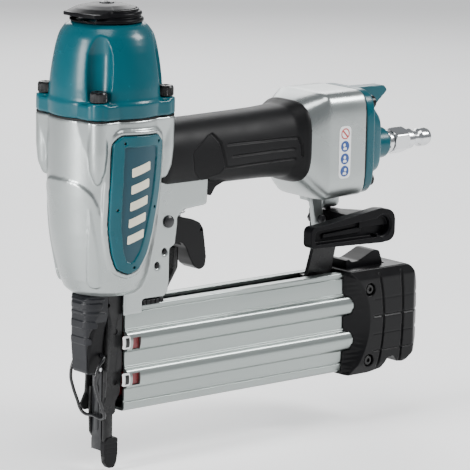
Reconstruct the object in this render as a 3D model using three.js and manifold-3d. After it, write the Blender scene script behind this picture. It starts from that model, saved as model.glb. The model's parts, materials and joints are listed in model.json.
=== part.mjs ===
// An 18-gauge pneumatic brad nailer, as separate solids: millimetres, +Z up, +X towards the air plug.
// Heights in this file are counted from the face of the contact tip. The whole group is lowered by the
// contact travel at the end, so the part's origin is on the driver's axis at the driver guide's tip.
import * as THREE from "three";
import { mergeVertices } from "three/addons/utils/BufferGeometryUtils.js";
import Module from "manifold-3d";

const wasm = await Module();
wasm.setup();

// ---------------------------------------------------------------- driving dimensions
const GAP = 0.3; // between pieces that touch on the real tool
const CONTACT_TRAVEL = 10; // the contact tip stands this far below the driver guide

const BARREL_FOOT = 92; // underside of the barrel
const BORE_FLOOR = 107; // floor of the bore that holds the cylinder sleeve
const CAP_JOINT = 182; // plane where the cap meets the housing
const CAP_TOP = 228;
const DEFLECTOR_TOP = 236.5;
const CAP_BOLT_XY = 21; // the four cap bolts stand at plus and minus this in X and Y
const SLEEVE_BORE = 15.5; // radius
const BUMPER_TOP = 116; // the piston stops just above this
const PISTON_STROKE = 53;

const TANK_FRONT = 112; // where the handle starts to widen into the rear tank
const TANK_REAR = 157; // plane where the rear cap meets the tank
const PLUG_Z = 150;
const PLUG_END = 222;
const PLUG_BORE = 1.9; // radius
const REAR_SCREWS = [[15.5, 134.5], [15.5, 175.5], [-15.5, 175.5], [-15.5, 134.5]]; // [y, z]
const BOLT_HOLE = 2; // radius, for the cap bolts and the rear screws

const CHEEK_INNER = 7; // the two trigger cheeks, half distances from the middle plane
const CHEEK_OUTER = 12;
const TRIGGER_PIVOT = [32, 125.4];
const VALVE_X = 48;
const GUIDE_PINS = [[30, 110.3], [25.3, 103.6]]; // [x, z] of the two pins through the leg
const PIN_HOLE = 1.6; // radius

const GUIDE_HALF = 4.1; // half width of the narrow nose
const WING_OUTER = 9; // half width over the driver guide's wings
const DOOR_HINGE = [-3.5, 86];
const LEVER_HINGE = [-5.8, 53];
const BAIL_HINGE = [-6.2, 60.3];
const HINGE_HOLE = 1.15; // radius of the holes for the door pin and the lever pin
const WIRE = 0.8; // radius of the bail's wire

const MAG_FRONT = 6.5;
const MAG_REAR = 158.4;
const MAG_TOP = 84;
const MAG_FOOT = 30.3;
const MAG_HALF = 10; // half width over the flats
const RIDGE_HALF = 13; // half width over the two ridges
const MAG_WALL = 1.5;
const THROAT_HALF = 4.8; // half width of the cover's open top
const RAIL_TOP = 81;
const BRAD_SLOT = 0.9; // half width of the passage that the brads slide in

const END_FRONT = 154;
const END_HALF = 17;
const LATCH_PIVOT = [172, 79];
const END_SCREWS = [[168.4, 74.6], [168.4, 36]]; // [x, z]
const LATCH_TOP_SLOT = [158.8, 186.8];

const HOOK_PIVOT_X = 151.5;
const HOOK_FACE = -33; // outer face of the belt hook
const BRACKET_BOLT = [141.6, 114]; // [x, z]
const BRACKET_SCREW = [149, 2.8]; // [x, y]
const TAP_HOLE = 1.3; // radius of the hole for the bracket's screw

// ---------------------------------------------------------------- finishes
const finish = (color, roughness, metalness) =>
  new THREE.MeshStandardMaterial({ color, roughness, metalness });
const finishes = {
  castAluminium: finish(0xb4bcbb, 0.45, 0.6),
  extrudedAluminium: finish(0xc4cbca, 0.4, 0.7),
  tealPaint: finish(0x00606f, 0.25, 0.2),
  blackPlastic: finish(0x1c1d1f, 0.5, 0),
  blackRubber: finish(0x202124, 0.8, 0),
  blackSteel: finish(0x2a2b2d, 0.45, 0.7),
  brightSteel: finish(0xa9adb0, 0.3, 0.9),
  seal: finish(0x101113, 0.7, 0),
  redPlastic: finish(0x8c2a2e, 0.45, 0),
  brass: finish(0xb08d4a, 0.35, 0.9),
};

// ---------------------------------------------------------------- solids
const WELD = 1e-3;

// A closed three.js geometry as a solid that faces out, whichever way its profile was drawn.
function solidOf(geometry) {
  const flat = geometry.index ? geometry.toNonIndexed() : geometry;
  const bare = new THREE.BufferGeometry();
  bare.setAttribute("position", flat.getAttribute("position"));
  const merged = mergeVertices(bare, WELD);
  const vertProperties = merged.attributes.position.array;
  const triVerts = new Uint32Array(merged.index.array);
  const made = new wasm.Manifold(new wasm.Mesh({ numProp: 3, vertProperties, triVerts }));
  if (made.volume() > 0) return made;
  return new wasm.Manifold(
    new wasm.Mesh({ numProp: 3, vertProperties, triVerts: triVerts.reverse() }),
  );
}

const join = (...solids) => solids.reduce((a, b) => a.add(b));
const cut = (base, ...tools) => tools.reduce((a, b) => a.subtract(b), base);

// Frames that lay a drawing's first and second coordinate, and its depth, along the part's axes.
const planes = {
  x: new THREE.Matrix4().makeBasis(
    new THREE.Vector3(0, 1, 0),
    new THREE.Vector3(0, 0, 1),
    new THREE.Vector3(1, 0, 0),
  ),
  y: new THREE.Matrix4().makeBasis(
    new THREE.Vector3(1, 0, 0),
    new THREE.Vector3(0, 0, 1),
    new THREE.Vector3(0, -1, 0),
  ),
  z: new THREE.Matrix4(),
};

// An outline from corner points [a, b] or [a, b, radius], each corner rounded by its radius.
function outline(corners, radius = 0) {
  const shape = new THREE.Shape();
  corners.forEach((corner, i) => {
    const here = new THREE.Vector2(corner[0], corner[1]);
    const before = corners.at(i - 1);
    const after = corners[(i + 1) % corners.length];
    const toBefore = new THREE.Vector2(before[0], before[1]).sub(here);
    const toAfter = new THREE.Vector2(after[0], after[1]).sub(here);
    const reach = Math.min(corner[2] ?? radius, toBefore.length() * 0.49, toAfter.length() * 0.49);
    const enter = here.clone().add(toBefore.setLength(reach));
    const leave = here.clone().add(toAfter.setLength(reach));
    if (i === 0) shape.moveTo(enter.x, enter.y);
    else shape.lineTo(enter.x, enter.y);
    if (reach > 0) shape.quadraticCurveTo(here.x, here.y, leave.x, leave.y);
  });
  shape.closePath();
  return shape;
}

// A straight-sided solid of an outline, from one place to another along an axis.
function prism(axis, shape, from, to, curveSegments = 2) {
  const drawn = Array.isArray(shape) ? outline(shape) : shape;
  const geometry = new THREE.ExtrudeGeometry(drawn, {
    depth: to - from,
    bevelEnabled: false,
    curveSegments,
  });
  geometry.applyMatrix4(planes[axis]);
  const start = axis === "y" ? to : from;
  geometry.translate(axis === "x" ? start : 0, axis === "y" ? start : 0, axis === "z" ? start : 0);
  return solidOf(geometry);
}

function box(x0, x1, y0, y1, z0, z1) {
  const geometry = new THREE.BoxGeometry(x1 - x0, y1 - y0, z1 - z0);
  return solidOf(geometry.translate((x0 + x1) / 2, (y0 + y1) / 2, (z0 + z1) / 2));
}

// Turns a geometry that stands along Y so that it lies along the axis, about a centre in the plane
// across it: [y, z] for x, [x, z] for y and [x, y] for z.
function stand(geometry, axis, centre) {
  if (axis === "x") return geometry.rotateZ(-Math.PI / 2).translate(0, centre[0], centre[1]);
  if (axis === "y") return geometry.translate(centre[0], 0, centre[1]);
  return geometry.rotateX(Math.PI / 2).translate(centre[0], centre[1], 0);
}

function rod(axis, radius, from, to, centre = [0, 0], sides = 12) {
  const geometry = new THREE.CylinderGeometry(radius, radius, to - from, sides);
  geometry.translate(0, (from + to) / 2, 0);
  return solidOf(stand(geometry, axis, centre));
}

const pipe = (axis, outer, inner, from, to, centre, sides) =>
  cut(rod(axis, outer, from, to, centre, sides), rod(axis, inner, from - 1, to + 1, centre, sides));

// A solid of revolution: profile points are [radius, place along the axis].
function turned(axis, profile, centre = [0, 0], sides = 28) {
  const points = profile.map(([r, along]) => new THREE.Vector2(r, along));
  const first = points[0];
  if (first.x > 0) points.push(first.clone());
  return solidOf(stand(new THREE.LatheGeometry(points, sides), axis, centre));
}

// A solid through cross-sections along X, each { x, low, high, half, power }: a superellipse between
// two heights with a half width. Power 2 is an ellipse, and more makes squarer sides.
function loft(sections, sides = 20) {
  const positions = [];
  const ring = ({ x, low, high, half, power }) =>
    Array.from({ length: sides }, (_, i) => {
      const turn = (i / sides) * 2 * Math.PI;
      const bulge = (v) => Math.sign(v) * Math.abs(v) ** (2 / power);
      const y = half * bulge(Math.cos(turn));
      const z = (low + high) / 2 + ((high - low) / 2) * bulge(Math.sin(turn));
      return [x, y, z];
    });
  const rings = sections.map(ring);
  const face = (...corners) => corners.forEach((corner) => positions.push(...corner));
  for (let s = 0; s + 1 < rings.length; s++) {
    for (let i = 0; i < sides; i++) {
      const j = (i + 1) % sides;
      face(rings[s][i], rings[s + 1][i], rings[s + 1][j]);
      face(rings[s][i], rings[s + 1][j], rings[s][j]);
    }
  }
  const middle = ({ x, low, high }) => [x, 0, (low + high) / 2];
  for (let i = 0; i < sides; i++) {
    const j = (i + 1) % sides;
    face(middle(sections[0]), rings[0][i], rings[0][j]);
    face(middle(sections.at(-1)), rings.at(-1)[j], rings.at(-1)[i]);
  }
  const geometry = new THREE.BufferGeometry();
  geometry.setAttribute("position", new THREE.Float32BufferAttribute(positions, 3));
  return solidOf(geometry);
}

// Round wire along a curve.
function wire(curve, radius, steps, sides = 6) {
  const section = new THREE.Shape();
  section.absarc(0, 0, radius, 0, 2 * Math.PI);
  const settings = { extrudePath: curve, steps, curveSegments: sides / 2, bevelEnabled: false };
  return solidOf(new THREE.ExtrudeGeometry(section, settings));
}

// A coil spring's centre line.
class Coil extends THREE.Curve {
  constructor(axis, centre, radius, from, to, turns) {
    super();
    Object.assign(this, { axis, centre, radius, from, to, turns });
  }
  getPoint(t) {
    const turn = t * this.turns * 2 * Math.PI;
    const across = this.centre[0] + this.radius * Math.cos(turn);
    const second = this.centre[1] + this.radius * Math.sin(turn);
    const along = this.from + (this.to - this.from) * t;
    if (this.axis === "y") return new THREE.Vector3(across, along, second);
    return new THREE.Vector3(across, second, along);
  }
}

const coil = (axis, centre, radius, wireRadius, from, to, turns) =>
  wire(
    new Coil(axis, centre, radius, from + wireRadius, to - wireRadius, turns),
    wireRadius,
    turns * 6,
    3,
  );

const bothSides = (make) => join(make(1), make(-1));

// A span from the inner to the outer half distance, on the side +1 or -1 of the middle plane.
const span = (side, inner, outer) => (side > 0 ? [inner, outer] : [-outer, -inner]);

// ---------------------------------------------------------------- the assembly
const nailer = new THREE.Group();

function piece(name, solid, material) {
  const made = solid.getMesh();
  const geometry = new THREE.BufferGeometry();
  geometry.setAttribute("position", new THREE.BufferAttribute(made.vertProperties, 3));
  geometry.setIndex(new THREE.BufferAttribute(made.triVerts, 1));
  geometry.computeVertexNormals();
  const mesh = new THREE.Mesh(geometry, material);
  mesh.name = name;
  nailer.add(mesh);
}

const boltPlaces = [
  [CAP_BOLT_XY, CAP_BOLT_XY],
  [-CAP_BOLT_XY, CAP_BOLT_XY],
  [-CAP_BOLT_XY, -CAP_BOLT_XY],
  [CAP_BOLT_XY, -CAP_BOLT_XY],
];

// ---- housing: barrel, handle core, rear tank, trigger cheeks and the arm that holds the hook
const BARREL_PROFILE = [
  [16.5, BARREL_FOOT],
  [19.3, 95],
  [22, 99.5],
  [22.9, 103],
  [26.2, 121],
  [28.5, 147.5],
  [29, CAP_JOINT],
];

const HANDLE = { low: 144, high: 172, half: 13.5, power: 2.6 };
const HANDLE_ROOT = 14;

const TANK = [
  { x: 90, ...HANDLE },
  { x: TANK_FRONT, low: 143, high: 173.5, half: 15, power: 2.8 },
  { x: 121, low: 134.8, high: 179.2, half: 18.5, power: 3.2 },
  { x: 131, low: 127.2, high: 182.4, half: 21.8, power: 3.8 },
  { x: 136, low: 126, high: 183, half: 22.2, power: 4 },
  { x: TANK_REAR, low: 126.6, high: 183, half: 22.2, power: 4 },
];

function cheek(side) {
  const [y0, y1] = span(side, CHEEK_INNER, CHEEK_OUTER);
  const shape = outline([
    [8, 150],
    [58, 146],
    [57.5, 131.6, 1.5],
    [42, 130.4, 3],
    [38.2, 127, 2],
    [38, 122],
    [36.8, 113],
    [33.4, 111.5, 1],
    [33.2, 94.5],
    [32.4, 89, 2],
    [29.7, 87, 2],
    [8, 87.3],
  ]);
  const skirt = box(4.4, 16.2, ...span(side, MAG_HALF + GAP, CHEEK_OUTER), 80.2, 100);
  return join(prism("y", shape, y0, y1), skirt);
}

function housing() {
  const barrel = turned("z", [[0, BARREL_FOOT], ...BARREL_PROFILE, [0, CAP_JOINT]], [0, 0], 24);
  const bosses = boltPlaces.map(([x, y]) =>
    turned("z", [[0, 155], [4.2, 160], [5, CAP_JOINT], [0, CAP_JOINT]], [x, y], 8),
  );
  const handle = loft([
    { x: HANDLE_ROOT, ...HANDLE },
    { x: 90, ...HANDLE },
  ]);
  const bracket = prism(
    "y",
    outline([[24, 131], [42, 130.4], [57.5, 131.6, 1.5], [57.5, 140, 4], [54, 147], [24, 147]]),
    -CHEEK_OUTER,
    CHEEK_OUTER,
  );
  const hookArm = prism(
    "y",
    [
      [133, 131],
      [143.5, 131],
      [142.6, 120.6],
      [144.7, 110.7],
      [144.7, 106],
      [138.6, 106],
      [137.6, 111],
      [135.7, 122],
    ],
    -5.5,
    -2,
  );
  const hookSeat = join(
    box(145, 156.5, -3.4, 3.4, 121, 130),
    rod("x", 3.4, 145, 156.5, [0, 121.8], 12),
  );
  const seatRoot = box(134, 146, -3.4, 3.4, 124, 130);
  const outside = join(
    barrel,
    ...bosses,
    handle,
    loft(TANK),
    bracket,
    hookArm,
    hookSeat,
    seatRoot,
    bothSides(cheek),
  );

  const bore = turned(
    "z",
    [[0, BORE_FLOOR], [19, BORE_FLOOR], [19, 125], [22.6, 128], [25, 152], [25, 190], [0, 190]],
    [0, 0],
    20,
  );
  const driverHole = rod("z", 1.8, BARREL_FOOT - 1, BORE_FLOOR + 1);
  const handleAir = loft(
    [
      { x: 20, low: 149, high: 167, half: 9.5, power: 2.4 },
      { x: 114, low: 148, high: 168.5, half: 10.5, power: 2.6 },
      { x: 134, low: 132.5, high: 177, half: 16.4, power: 3.2 },
      { x: TANK_REAR + 1, low: 132.5, high: 177, half: 16.4, power: 3.4 },
    ],
    12,
  );
  const valveBore = rod("z", 6.4, 125, 152, [VALVE_X, 0], 16);
  const armPocket = box(-6, 20, -8.2, -3.8, 85, 101.6);
  const springPocket = rod("z", 2.8, 90, 104.6, [11, -6], 10);
  const legHollow = box(12, 45, -CHEEK_INNER, CHEEK_INNER, 80, 101.6);
  const holes = [
    rod("y", 2.1, -20, 20, TRIGGER_PIVOT),
    ...GUIDE_PINS.map((place) => rod("y", PIN_HOLE, -20, 20, place, 8)),
    ...boltPlaces.map((place) => rod("z", BOLT_HOLE, 160, 190, place, 8)),
    ...REAR_SCREWS.map((place) => rod("x", BOLT_HOLE, 140, 160, place, 8)),
    rod("z", 1.7, 118, 127, [HOOK_PIVOT_X, 0], 12),
    rod("y", PIN_HOLE, -8, 0, BRACKET_BOLT, 12),
  ];
  return cut(
    outside,
    bore,
    driverHole,
    handleAir,
    valveBore,
    armPocket,
    springPocket,
    legHollow,
    ...holes,
  );
}

// ---- cap, deflector and what is under them
const CAP_PROFILE = [
  [29.3, CAP_JOINT + 0.8],
  [29.3, 194],
  [27.9, 205],
  [25.8, 216],
  [23.6, 222],
  [21.3, 226],
  [19, 227.6],
  [17.5, CAP_TOP],
];

function cylinderCap() {
  const dome = turned("z", [[0, CAP_JOINT + 0.8], ...CAP_PROFILE, [0, CAP_TOP]], [0, 0], 24);
  const lugs = boltPlaces.map((place) => rod("z", 5, CAP_JOINT + 0.8, 191.4, place, 8));
  const scallops = boltPlaces.map(([x, y]) => rod("z", 7, 191.4, 224, [x * 1.08, y * 1.08], 10));
  const pocket = turned(
    "z",
    [[0, 180], [22.3, 180], [22.3, 201], [9.5, 201], [9.5, 212], [0, 212]],
    [0, 0],
    16,
  );
  const ports = [0, 1, 2, 3].map((i) => {
    const turn = ((i + 0.5) * Math.PI) / 2;
    return rod("z", 3.2, 200, 230, [9 * Math.cos(turn), 9 * Math.sin(turn)], 8);
  });
  const shanks = boltPlaces.map((place) => rod("z", BOLT_HOLE, 180, 194, place, 8));
  const screwHole = rod("z", 2, 210, 230, [0, 0], 12);
  return cut(join(dome, ...lugs), ...scallops, pocket, ...ports, ...shanks, screwHole);
}

function capGasket() {
  const low = CAP_JOINT + 0.1;
  const high = CAP_JOINT + 0.7;
  const ring = join(
    rod("z", 28.6, low, high, [0, 0], 24),
    ...boltPlaces.map((place) => rod("z", 4.5, low, high, place, 8)),
  );
  return cut(
    ring,
    rod("z", 25.2, low - 1, high + 1, [0, 0], 20),
    ...boltPlaces.map((p) => rod("z", BOLT_HOLE, low - 1, high + 1, p, 8)),
  );
}

function socketBolt(place) {
  const shank = rod("z", 1.8, 164, 192, place, 8);
  const head = rod("z", 4.2, 191.7, 197, place, 12);
  return cut(join(shank, head), rod("z", 2, 194, 198, place, 6));
}

const MOUTH_TURN = 50; // degrees from the front, towards the left side

function exhaustDeflector() {
  const floor = CAP_TOP + 0.3;
  const shell = turned(
    "z",
    [
      [3, floor],
      [18.5, floor],
      [18.5, 231.4],
      [17.4, 232.2],
      [17.9, 234],
      [16.6, DEFLECTOR_TOP],
      [3, DEFLECTOR_TOP],
    ],
    [0, 0],
    24,
  );
  const chamber = turned(
    "z",
    [[5.2, floor - 1], [15.8, floor - 1], [15.8, 234.6], [5.2, 234.6]],
    [0, 0],
    16,
  );
  const mouth = box(-24, -6, -9.5, 9.5, floor + 1.4, 234.6).rotate([0, 0, MOUTH_TURN]);
  return cut(shell, chamber, mouth);
}

function deflectorScrew() {
  return cut(
    join(
      rod("z", 1.8, 213, 237, [0, 0], 12),
      rod("z", 4.4, DEFLECTOR_TOP + 0.2, 238.6, [0, 0], 16),
    ),
    rod("z", 1.6, 237.2, 240, [0, 0], 6),
  );
}

const SIDE_PLATE = [
  [-15.5, 171, 2],
  [-11.5, 174.8, 3],
  [10.5, 174.2, 3],
  [15, 170.5, 2],
  [14.8, 161],
  [12, 139],
  [9.4, 125.4],
  [6.7, 114.1],
  [2.4, 106.8, 3],
  [-3.4, 104.6, 3],
  [-9.8, 107.4, 3],
  [-13, 115.2],
  [-15.4, 127],
  [-16, 144.3],
];

// A plate that follows the barrel's wall, raised by its thickness.
function sidePlate(side) {
  const [y0, y1] = span(side, 8, 40);
  const skin = (lift) => {
    const raised = BARREL_PROFILE.map(([r, z]) => [r + lift, z]);
    return turned("z", [[0, BARREL_FOOT], ...raised, [0, CAP_JOINT]], [0, 0], 24);
  };
  const plate = prism("y", outline(SIDE_PLATE), y0, y1).intersect(cut(skin(2), skin(0.35)));
  const cheekRoom = box(4, 60, ...span(side, 0, CHEEK_OUTER + GAP), 80, 151);
  return cut(plate, cheekRoom);
}

// ---- cylinder, piston, driver and valves
function cylinderSleeve() {
  const low = BORE_FLOOR + 0.2;
  return turned(
    "z",
    [
      [SLEEVE_BORE, low],
      [18.6, low],
      [18.6, 173],
      [24.6, 173],
      [24.6, 178.6],
      [SLEEVE_BORE, 178.6],
    ],
  );
}

const bumper = () =>
  turned(
    "z",
    [
      [2.6, BORE_FLOOR + 0.3],
      [15.2, BORE_FLOOR + 0.3],
      [15.2, 113],
      [12, BUMPER_TOP],
      [2.6, BUMPER_TOP],
    ],
    [0, 0],
    20,
  );

const PISTON_LOW = BUMPER_TOP + 0.4 + PISTON_STROKE;

function piston() {
  const profile = [
    [0, PISTON_LOW],
    [15.2, PISTON_LOW],
    [15.2, 171.6],
    [13.4, 171.6],
    [13.4, 174.6],
    [15.2, 174.6],
    [15.2, 177],
    [0, 177],
  ];
  return cut(turned("z", profile, [0, 0], 24), box(-0.9, 0.9, -1, 1, PISTON_LOW - 1, 172.2));
}

const pistonRing = () => pipe("z", 15.35, 13.6, 171.9, 174.3, [0, 0], 24);
const BLADE_TIP = CONTACT_TRAVEL + 0.5 + PISTON_STROKE;
const driverBlade = () => box(-0.7, 0.7, -0.8, 0.8, BLADE_TIP, 172);

function headValve() {
  return turned(
    "z",
    [[0, 179.2], [21.9, 179.2], [21.9, 185.5], [16, 186.3], [9, 186.3], [9, 183], [0, 183]],
    [0, 0],
    24,
  );
}

const headValveSpring = () => coil("z", [0, 0], 12.5, 0.9, 186.5, 200.7, 4);

function valveBody() {
  const profile = [[1.9, 131.9], [6, 131.9], [6, 149], [3.6, 151], [1.9, 151]];
  return turned("z", profile, [VALVE_X, 0], 16);
}

const valvePlunger = () => turned(
  "z",
  [[0, 123.4], [1.2, 123.4], [1.6, 124.2], [1.6, 142], [0, 142]],
  [VALVE_X, 0],
  12,
);
const triggerSpring = () => coil("z", [VALVE_X, 0], 3.5, 0.4, 125.6, 131.6, 3);

// ---- trigger and its idler lever
function trigger() {
  const shape = outline([
    [27.4, 127.4, 3],
    [30, 129.6, 3],
    [36.6, 128.8, 3],
    [42, 126.2, 1],
    [47.5, 125.2],
    [53.2, 123.5],
    [58, 121.2, 2],
    [60.2, 118, 2],
    [61.1, 113],
    [62.6, 102.8],
    [61.8, 98, 2],
    [58.2, 96.4, 3],
    [54.4, 99, 2],
    [51.6, 103.6, 2],
    [49.4, 108.8, 2],
    [46.6, 111.9, 2],
    [40, 112.4],
    [36.8, 119, 2],
    [30, 120.6, 3],
    [27.4, 123, 3],
  ]);
  const idlerRoom = prism(
    "y",
    [
      [20, 105],
      [48.3, 105],
      [48.3, 112.4],
      [52.6, 105.6],
      [57, 102.6],
      [59.2, 112],
      [59.2, 120],
      [56, 135],
      [20, 135],
    ],
    -3.3,
    3.3,
  );
  return cut(prism("y", shape, -6, 6), idlerRoom, rod("y", 2.1, -10, 10, TRIGGER_PIVOT));
}

function triggerPin() {
  const shaft = rod("y", 1.95, -14, 14, TRIGGER_PIVOT);
  return join(
    shaft,
    rod("y", 3.3, -14, -CHEEK_OUTER - 0.1, TRIGGER_PIVOT),
    rod("y", 3.3, CHEEK_OUTER + 0.1, 14, TRIGGER_PIVOT),
  );
}

const triggerIdler = () =>
  prism(
    "y",
    outline(
      [[58.4, 117.6], [57.4, 118.6], [44.4, 123.2], [44, 121.6], [56.6, 116.1], [58.2, 116.4]],
      0.4,
    ),
    -2.4,
    2.4,
  );

const guidePin = (place) => rod("y", 1.4, -CHEEK_OUTER - 0.2, CHEEK_OUTER + 0.2, place, 12);

// ---- contact arm: from the tip up beside the nose, back over the magazine and up to the trigger
function contactArm() {
  const blade = box(-3.3, 0.8, -7, -5, 5, 90.5);
  const run = prism(
    "z",
    [[-3.3, -7], [21, -7], [29, -2.6], [34, -2.6], [34, 2.6], [28, 2.6], [19, -5], [-3.3, -5]],
    87.2,
    90.5,
  );
  const riser = prism(
    "y",
    [
      [32, 87.2],
      [39, 87.2],
      [43.3, 93.5],
      [46.9, 98.8],
      [46.9, 109.6],
      [44.3, 109.6],
      [43.6, 97],
      [39, 90.5],
      [32, 90.5],
    ],
    -2.6,
    2.6,
  );
  return join(blade, run, riser);
}

function contactTip() {
  const shape = outline([
    [-1.6, 17],
    [4.8, 17, 0.8],
    [5.1, 9],
    [4.1, 3, 2],
    [2.6, 0, 1.5],
    [-1.2, 0, 1.5],
    [-3.4, 3, 2],
    [-4.3, 10],
    [-4.1, 15, 2],
  ]);
  return cut(prism("y", shape, -7.8, -4.3), box(-3.4, 0.9, -7.1, -4.9, 4.9, 20));
}

const contactSpring = () => coil("z", [11, -6], 2, 0.4, 90.7, 104.4, 4);

// ---- nose: driver guide, door, jam-release lever and wire bail
function guideWing(side) {
  const [y0, y1] = span(side, 7.6, WING_OUTER);
  const shape = outline([
    [5.5, 91.6],
    [5.5, 50, 4],
    [4.4, 40, 3],
    [1.5, 35.8, 2],
    [1.5, 29.5, 1.5],
    [-5, 29.5, 1],
    [-7.3, 32, 1],
    [-4, 38.5, 2],
    [-3.6, 45],
    [-3.6, 91.6],
  ]);
  return prism("y", shape, y0, y1);
}

function hingeLug() {
  const [x, z] = DOOR_HINGE;
  return join(rod("y", 1.9, 5, 7.2, DOOR_HINGE, 12), box(x, 1.5, 5, 7.2, z - 1.8, z + 1.8));
}

function driverGuide() {
  const core = box(-0.8, 5.5, -4.4, 4.4, 29, 91.6);
  const back = box(2, 5.5, -8, 8, 42, 91.6);
  const nose = box(-0.8, 4, -GUIDE_HALF, GUIDE_HALF, CONTACT_TRAVEL, 30);
  const farRib = prism(
    "y",
    [[-3.4, 42], [-4, 31], [-3.4, 18.5], [-1.8, 15.7], [0, 15.7], [0, 42]],
    4.25,
    5.6,
  );
  const lugRoot = box(-0.8, 5.5, 4, 8, 80, 91.6);
  const body = join(core, back, nose, farRib, bothSides(guideWing), hingeLug(), lugRoot);
  const driverPassage = box(-2, 0.9, -1, 1, 0, 95);
  const bradPassage = box(0, 7, -BRAD_SLOT, BRAD_SLOT, 12.4, BLADE_TIP);
  const pinHole = rod("y", HINGE_HOLE, -9.5, 9.5, DOOR_HINGE, 10);
  const armPassage = box(1, 7, -7.6, -4.5, 84, 93);
  return cut(body, driverPassage, bradPassage, pinHole, armPassage);
}

function noseDoor() {
  const plate = box(-3, -1.1, -GUIDE_HALF, GUIDE_HALF, CONTACT_TRAVEL, 85);
  const knuckle = rod("y", 2, -GUIDE_HALF, GUIDE_HALF, DOOR_HINGE, 14);
  const leverEars = box(
    LEVER_HINGE[0] - 1.6,
    -2.5,
    -3.8,
    3.8,
    LEVER_HINGE[1] - 1.6,
    LEVER_HINGE[1] + 1.6,
  );
  const holes = [
    rod("y", HINGE_HOLE, -10, 10, DOOR_HINGE, 10),
    rod("y", HINGE_HOLE, -10, 10, LEVER_HINGE, 10),
  ];
  return cut(join(plate, knuckle, leverEars), ...holes);
}

const doorPin = () => rod("y", 1, -GUIDE_HALF, 7, DOOR_HINGE, 10);
const leverPin = () => rod("y", 1, -6.6, 6.6, LEVER_HINGE, 10);

// The lever is a hollow cover, open towards the nose, wide at the top and narrow at its hinge.
function jamLever() {
  const side = outline([
    [-3.9, 91.4],
    [-14, 91.4, 2],
    [-16.6, 88, 3],
    [-15.6, 82],
    [-16.2, 74],
    [-14.6, 58, 4],
    [-14.4, 51.6, 2.4],
    [-10.4, 50.6, 2],
    [-6.4, 50.6, 1],
    [-3.9, 52.4, 1],
  ]);
  const front = outline(
    [[-9.4, 95], [9.4, 95], [9.4, 74], [7, 54, 3], [6, 46], [-6, 46], [-7, 54, 3], [-9.4, 74]],
  );
  const body = prism("y", side, -10, 10).intersect(prism("x", front, -20, 0));
  const room = prism(
    "y",
    outline([[-2, 95], [-12.4, 95], [-12.6, 60], [-11, 54], [-9, 49], [-2, 49]]),
    -7.5,
    7.5,
  );
  const neckRoom = prism(
    "x",
    outline(
      [[-7.5, 96], [7.5, 96], [7.5, 74], [5.2, 60], [4.4, 46], [-4.4, 46], [-5.2, 60], [-7.5, 74]],
    ),
    -20,
    0,
  );
  const holes = [
    rod("y", HINGE_HOLE, -12, 12, LEVER_HINGE, 10),
    rod("y", WIRE + 0.15, -12, 12, BAIL_HINGE, 10),
  ];
  return cut(body, room.intersect(neckRoom), ...holes);
}

// Half of the bail, from the middle of its cross bar up to its hooked-in end.
function jamBail() {
  const reach = 9.95;
  const [x, z] = BAIL_HINGE;
  const half = (side) => [
    [-5.2, 0, 28.1],
    [-5.2, side * 8.4, 28.1],
    [-5.8, side * reach, 30],
    [-7.4, side * reach, 34],
    [-10.6, side * reach, 42],
    [-12, side * reach, 48],
    [-10.4, side * reach, 55],
    [x - 0.6, side * reach, z - 0.8],
    [x, side * (reach - 1), z],
    [x, side * 5.4, z],
  ];
  const points = [...half(-1).reverse(), ...half(1).slice(1)].map((p) => new THREE.Vector3(...p));
  return wire(new THREE.CatmullRomCurve3(points, false, "catmullrom", 0.2), WIRE, 32);
}

// ---- magazine: fixed rail, sliding cover, pusher, end cap and latch
const COVER_SIDE = [
  [THROAT_HALF, MAG_TOP],
  [MAG_HALF, MAG_TOP],
  [MAG_HALF, 82],
  [MAG_HALF - 0.4, 81.5],
  [MAG_HALF, 81],
  [MAG_HALF, 72.2],
  [12.1, 71],
  [RIDGE_HALF, 68.8],
  [RIDGE_HALF, 64],
  [12.1, 61.8],
  [MAG_HALF, 60.6],
  [MAG_HALF, 53],
  [12.1, 51.8],
  [RIDGE_HALF, 49.6],
  [RIDGE_HALF, 45],
  [12.1, 43],
  [MAG_HALF, 41.8],
  [MAG_HALF, 35.7],
  [MAG_HALF - 0.4, 35.2],
  [MAG_HALF, 34.7],
  [MAG_HALF, 31.6],
  [MAG_HALF - 1.3, MAG_FOOT],
];

const COVER_INSIDE = [
  [THROAT_HALF, 82.4],
  [MAG_HALF - MAG_WALL, 82.4],
  [MAG_HALF - MAG_WALL, 71.4],
  [RIDGE_HALF - MAG_WALL, 69],
  [RIDGE_HALF - MAG_WALL, 62.2],
  [MAG_HALF - MAG_WALL, 60.8],
  [MAG_HALF - MAG_WALL, 52],
  [RIDGE_HALF - MAG_WALL, 50],
  [RIDGE_HALF - MAG_WALL, 43.4],
  [MAG_HALF - MAG_WALL, 42],
  [MAG_HALF - MAG_WALL, MAG_FOOT + MAG_WALL],
];

const WINDOWS = [
  [62, 69],
  [43.6, 50.6],
];

function magazineCover() {
  const mirrored = (side) => side.map(([y, z]) => [-y, z]).reverse();
  const profile = [
    ...COVER_SIDE,
    ...mirrored(COVER_SIDE),
    ...mirrored(COVER_INSIDE).reverse(),
    ...COVER_INSIDE.slice().reverse(),
  ];
  const windows = WINDOWS.map(([low, high]) => box(8.5, 15.5, -14, -9, low, high));
  return cut(prism("x", profile, MAG_FRONT, MAG_REAR), ...windows);
}

const RAIL_FRONT = 5.9;
const RAIL_STEP = 156; // behind this the rail is lower, under the latch

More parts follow.
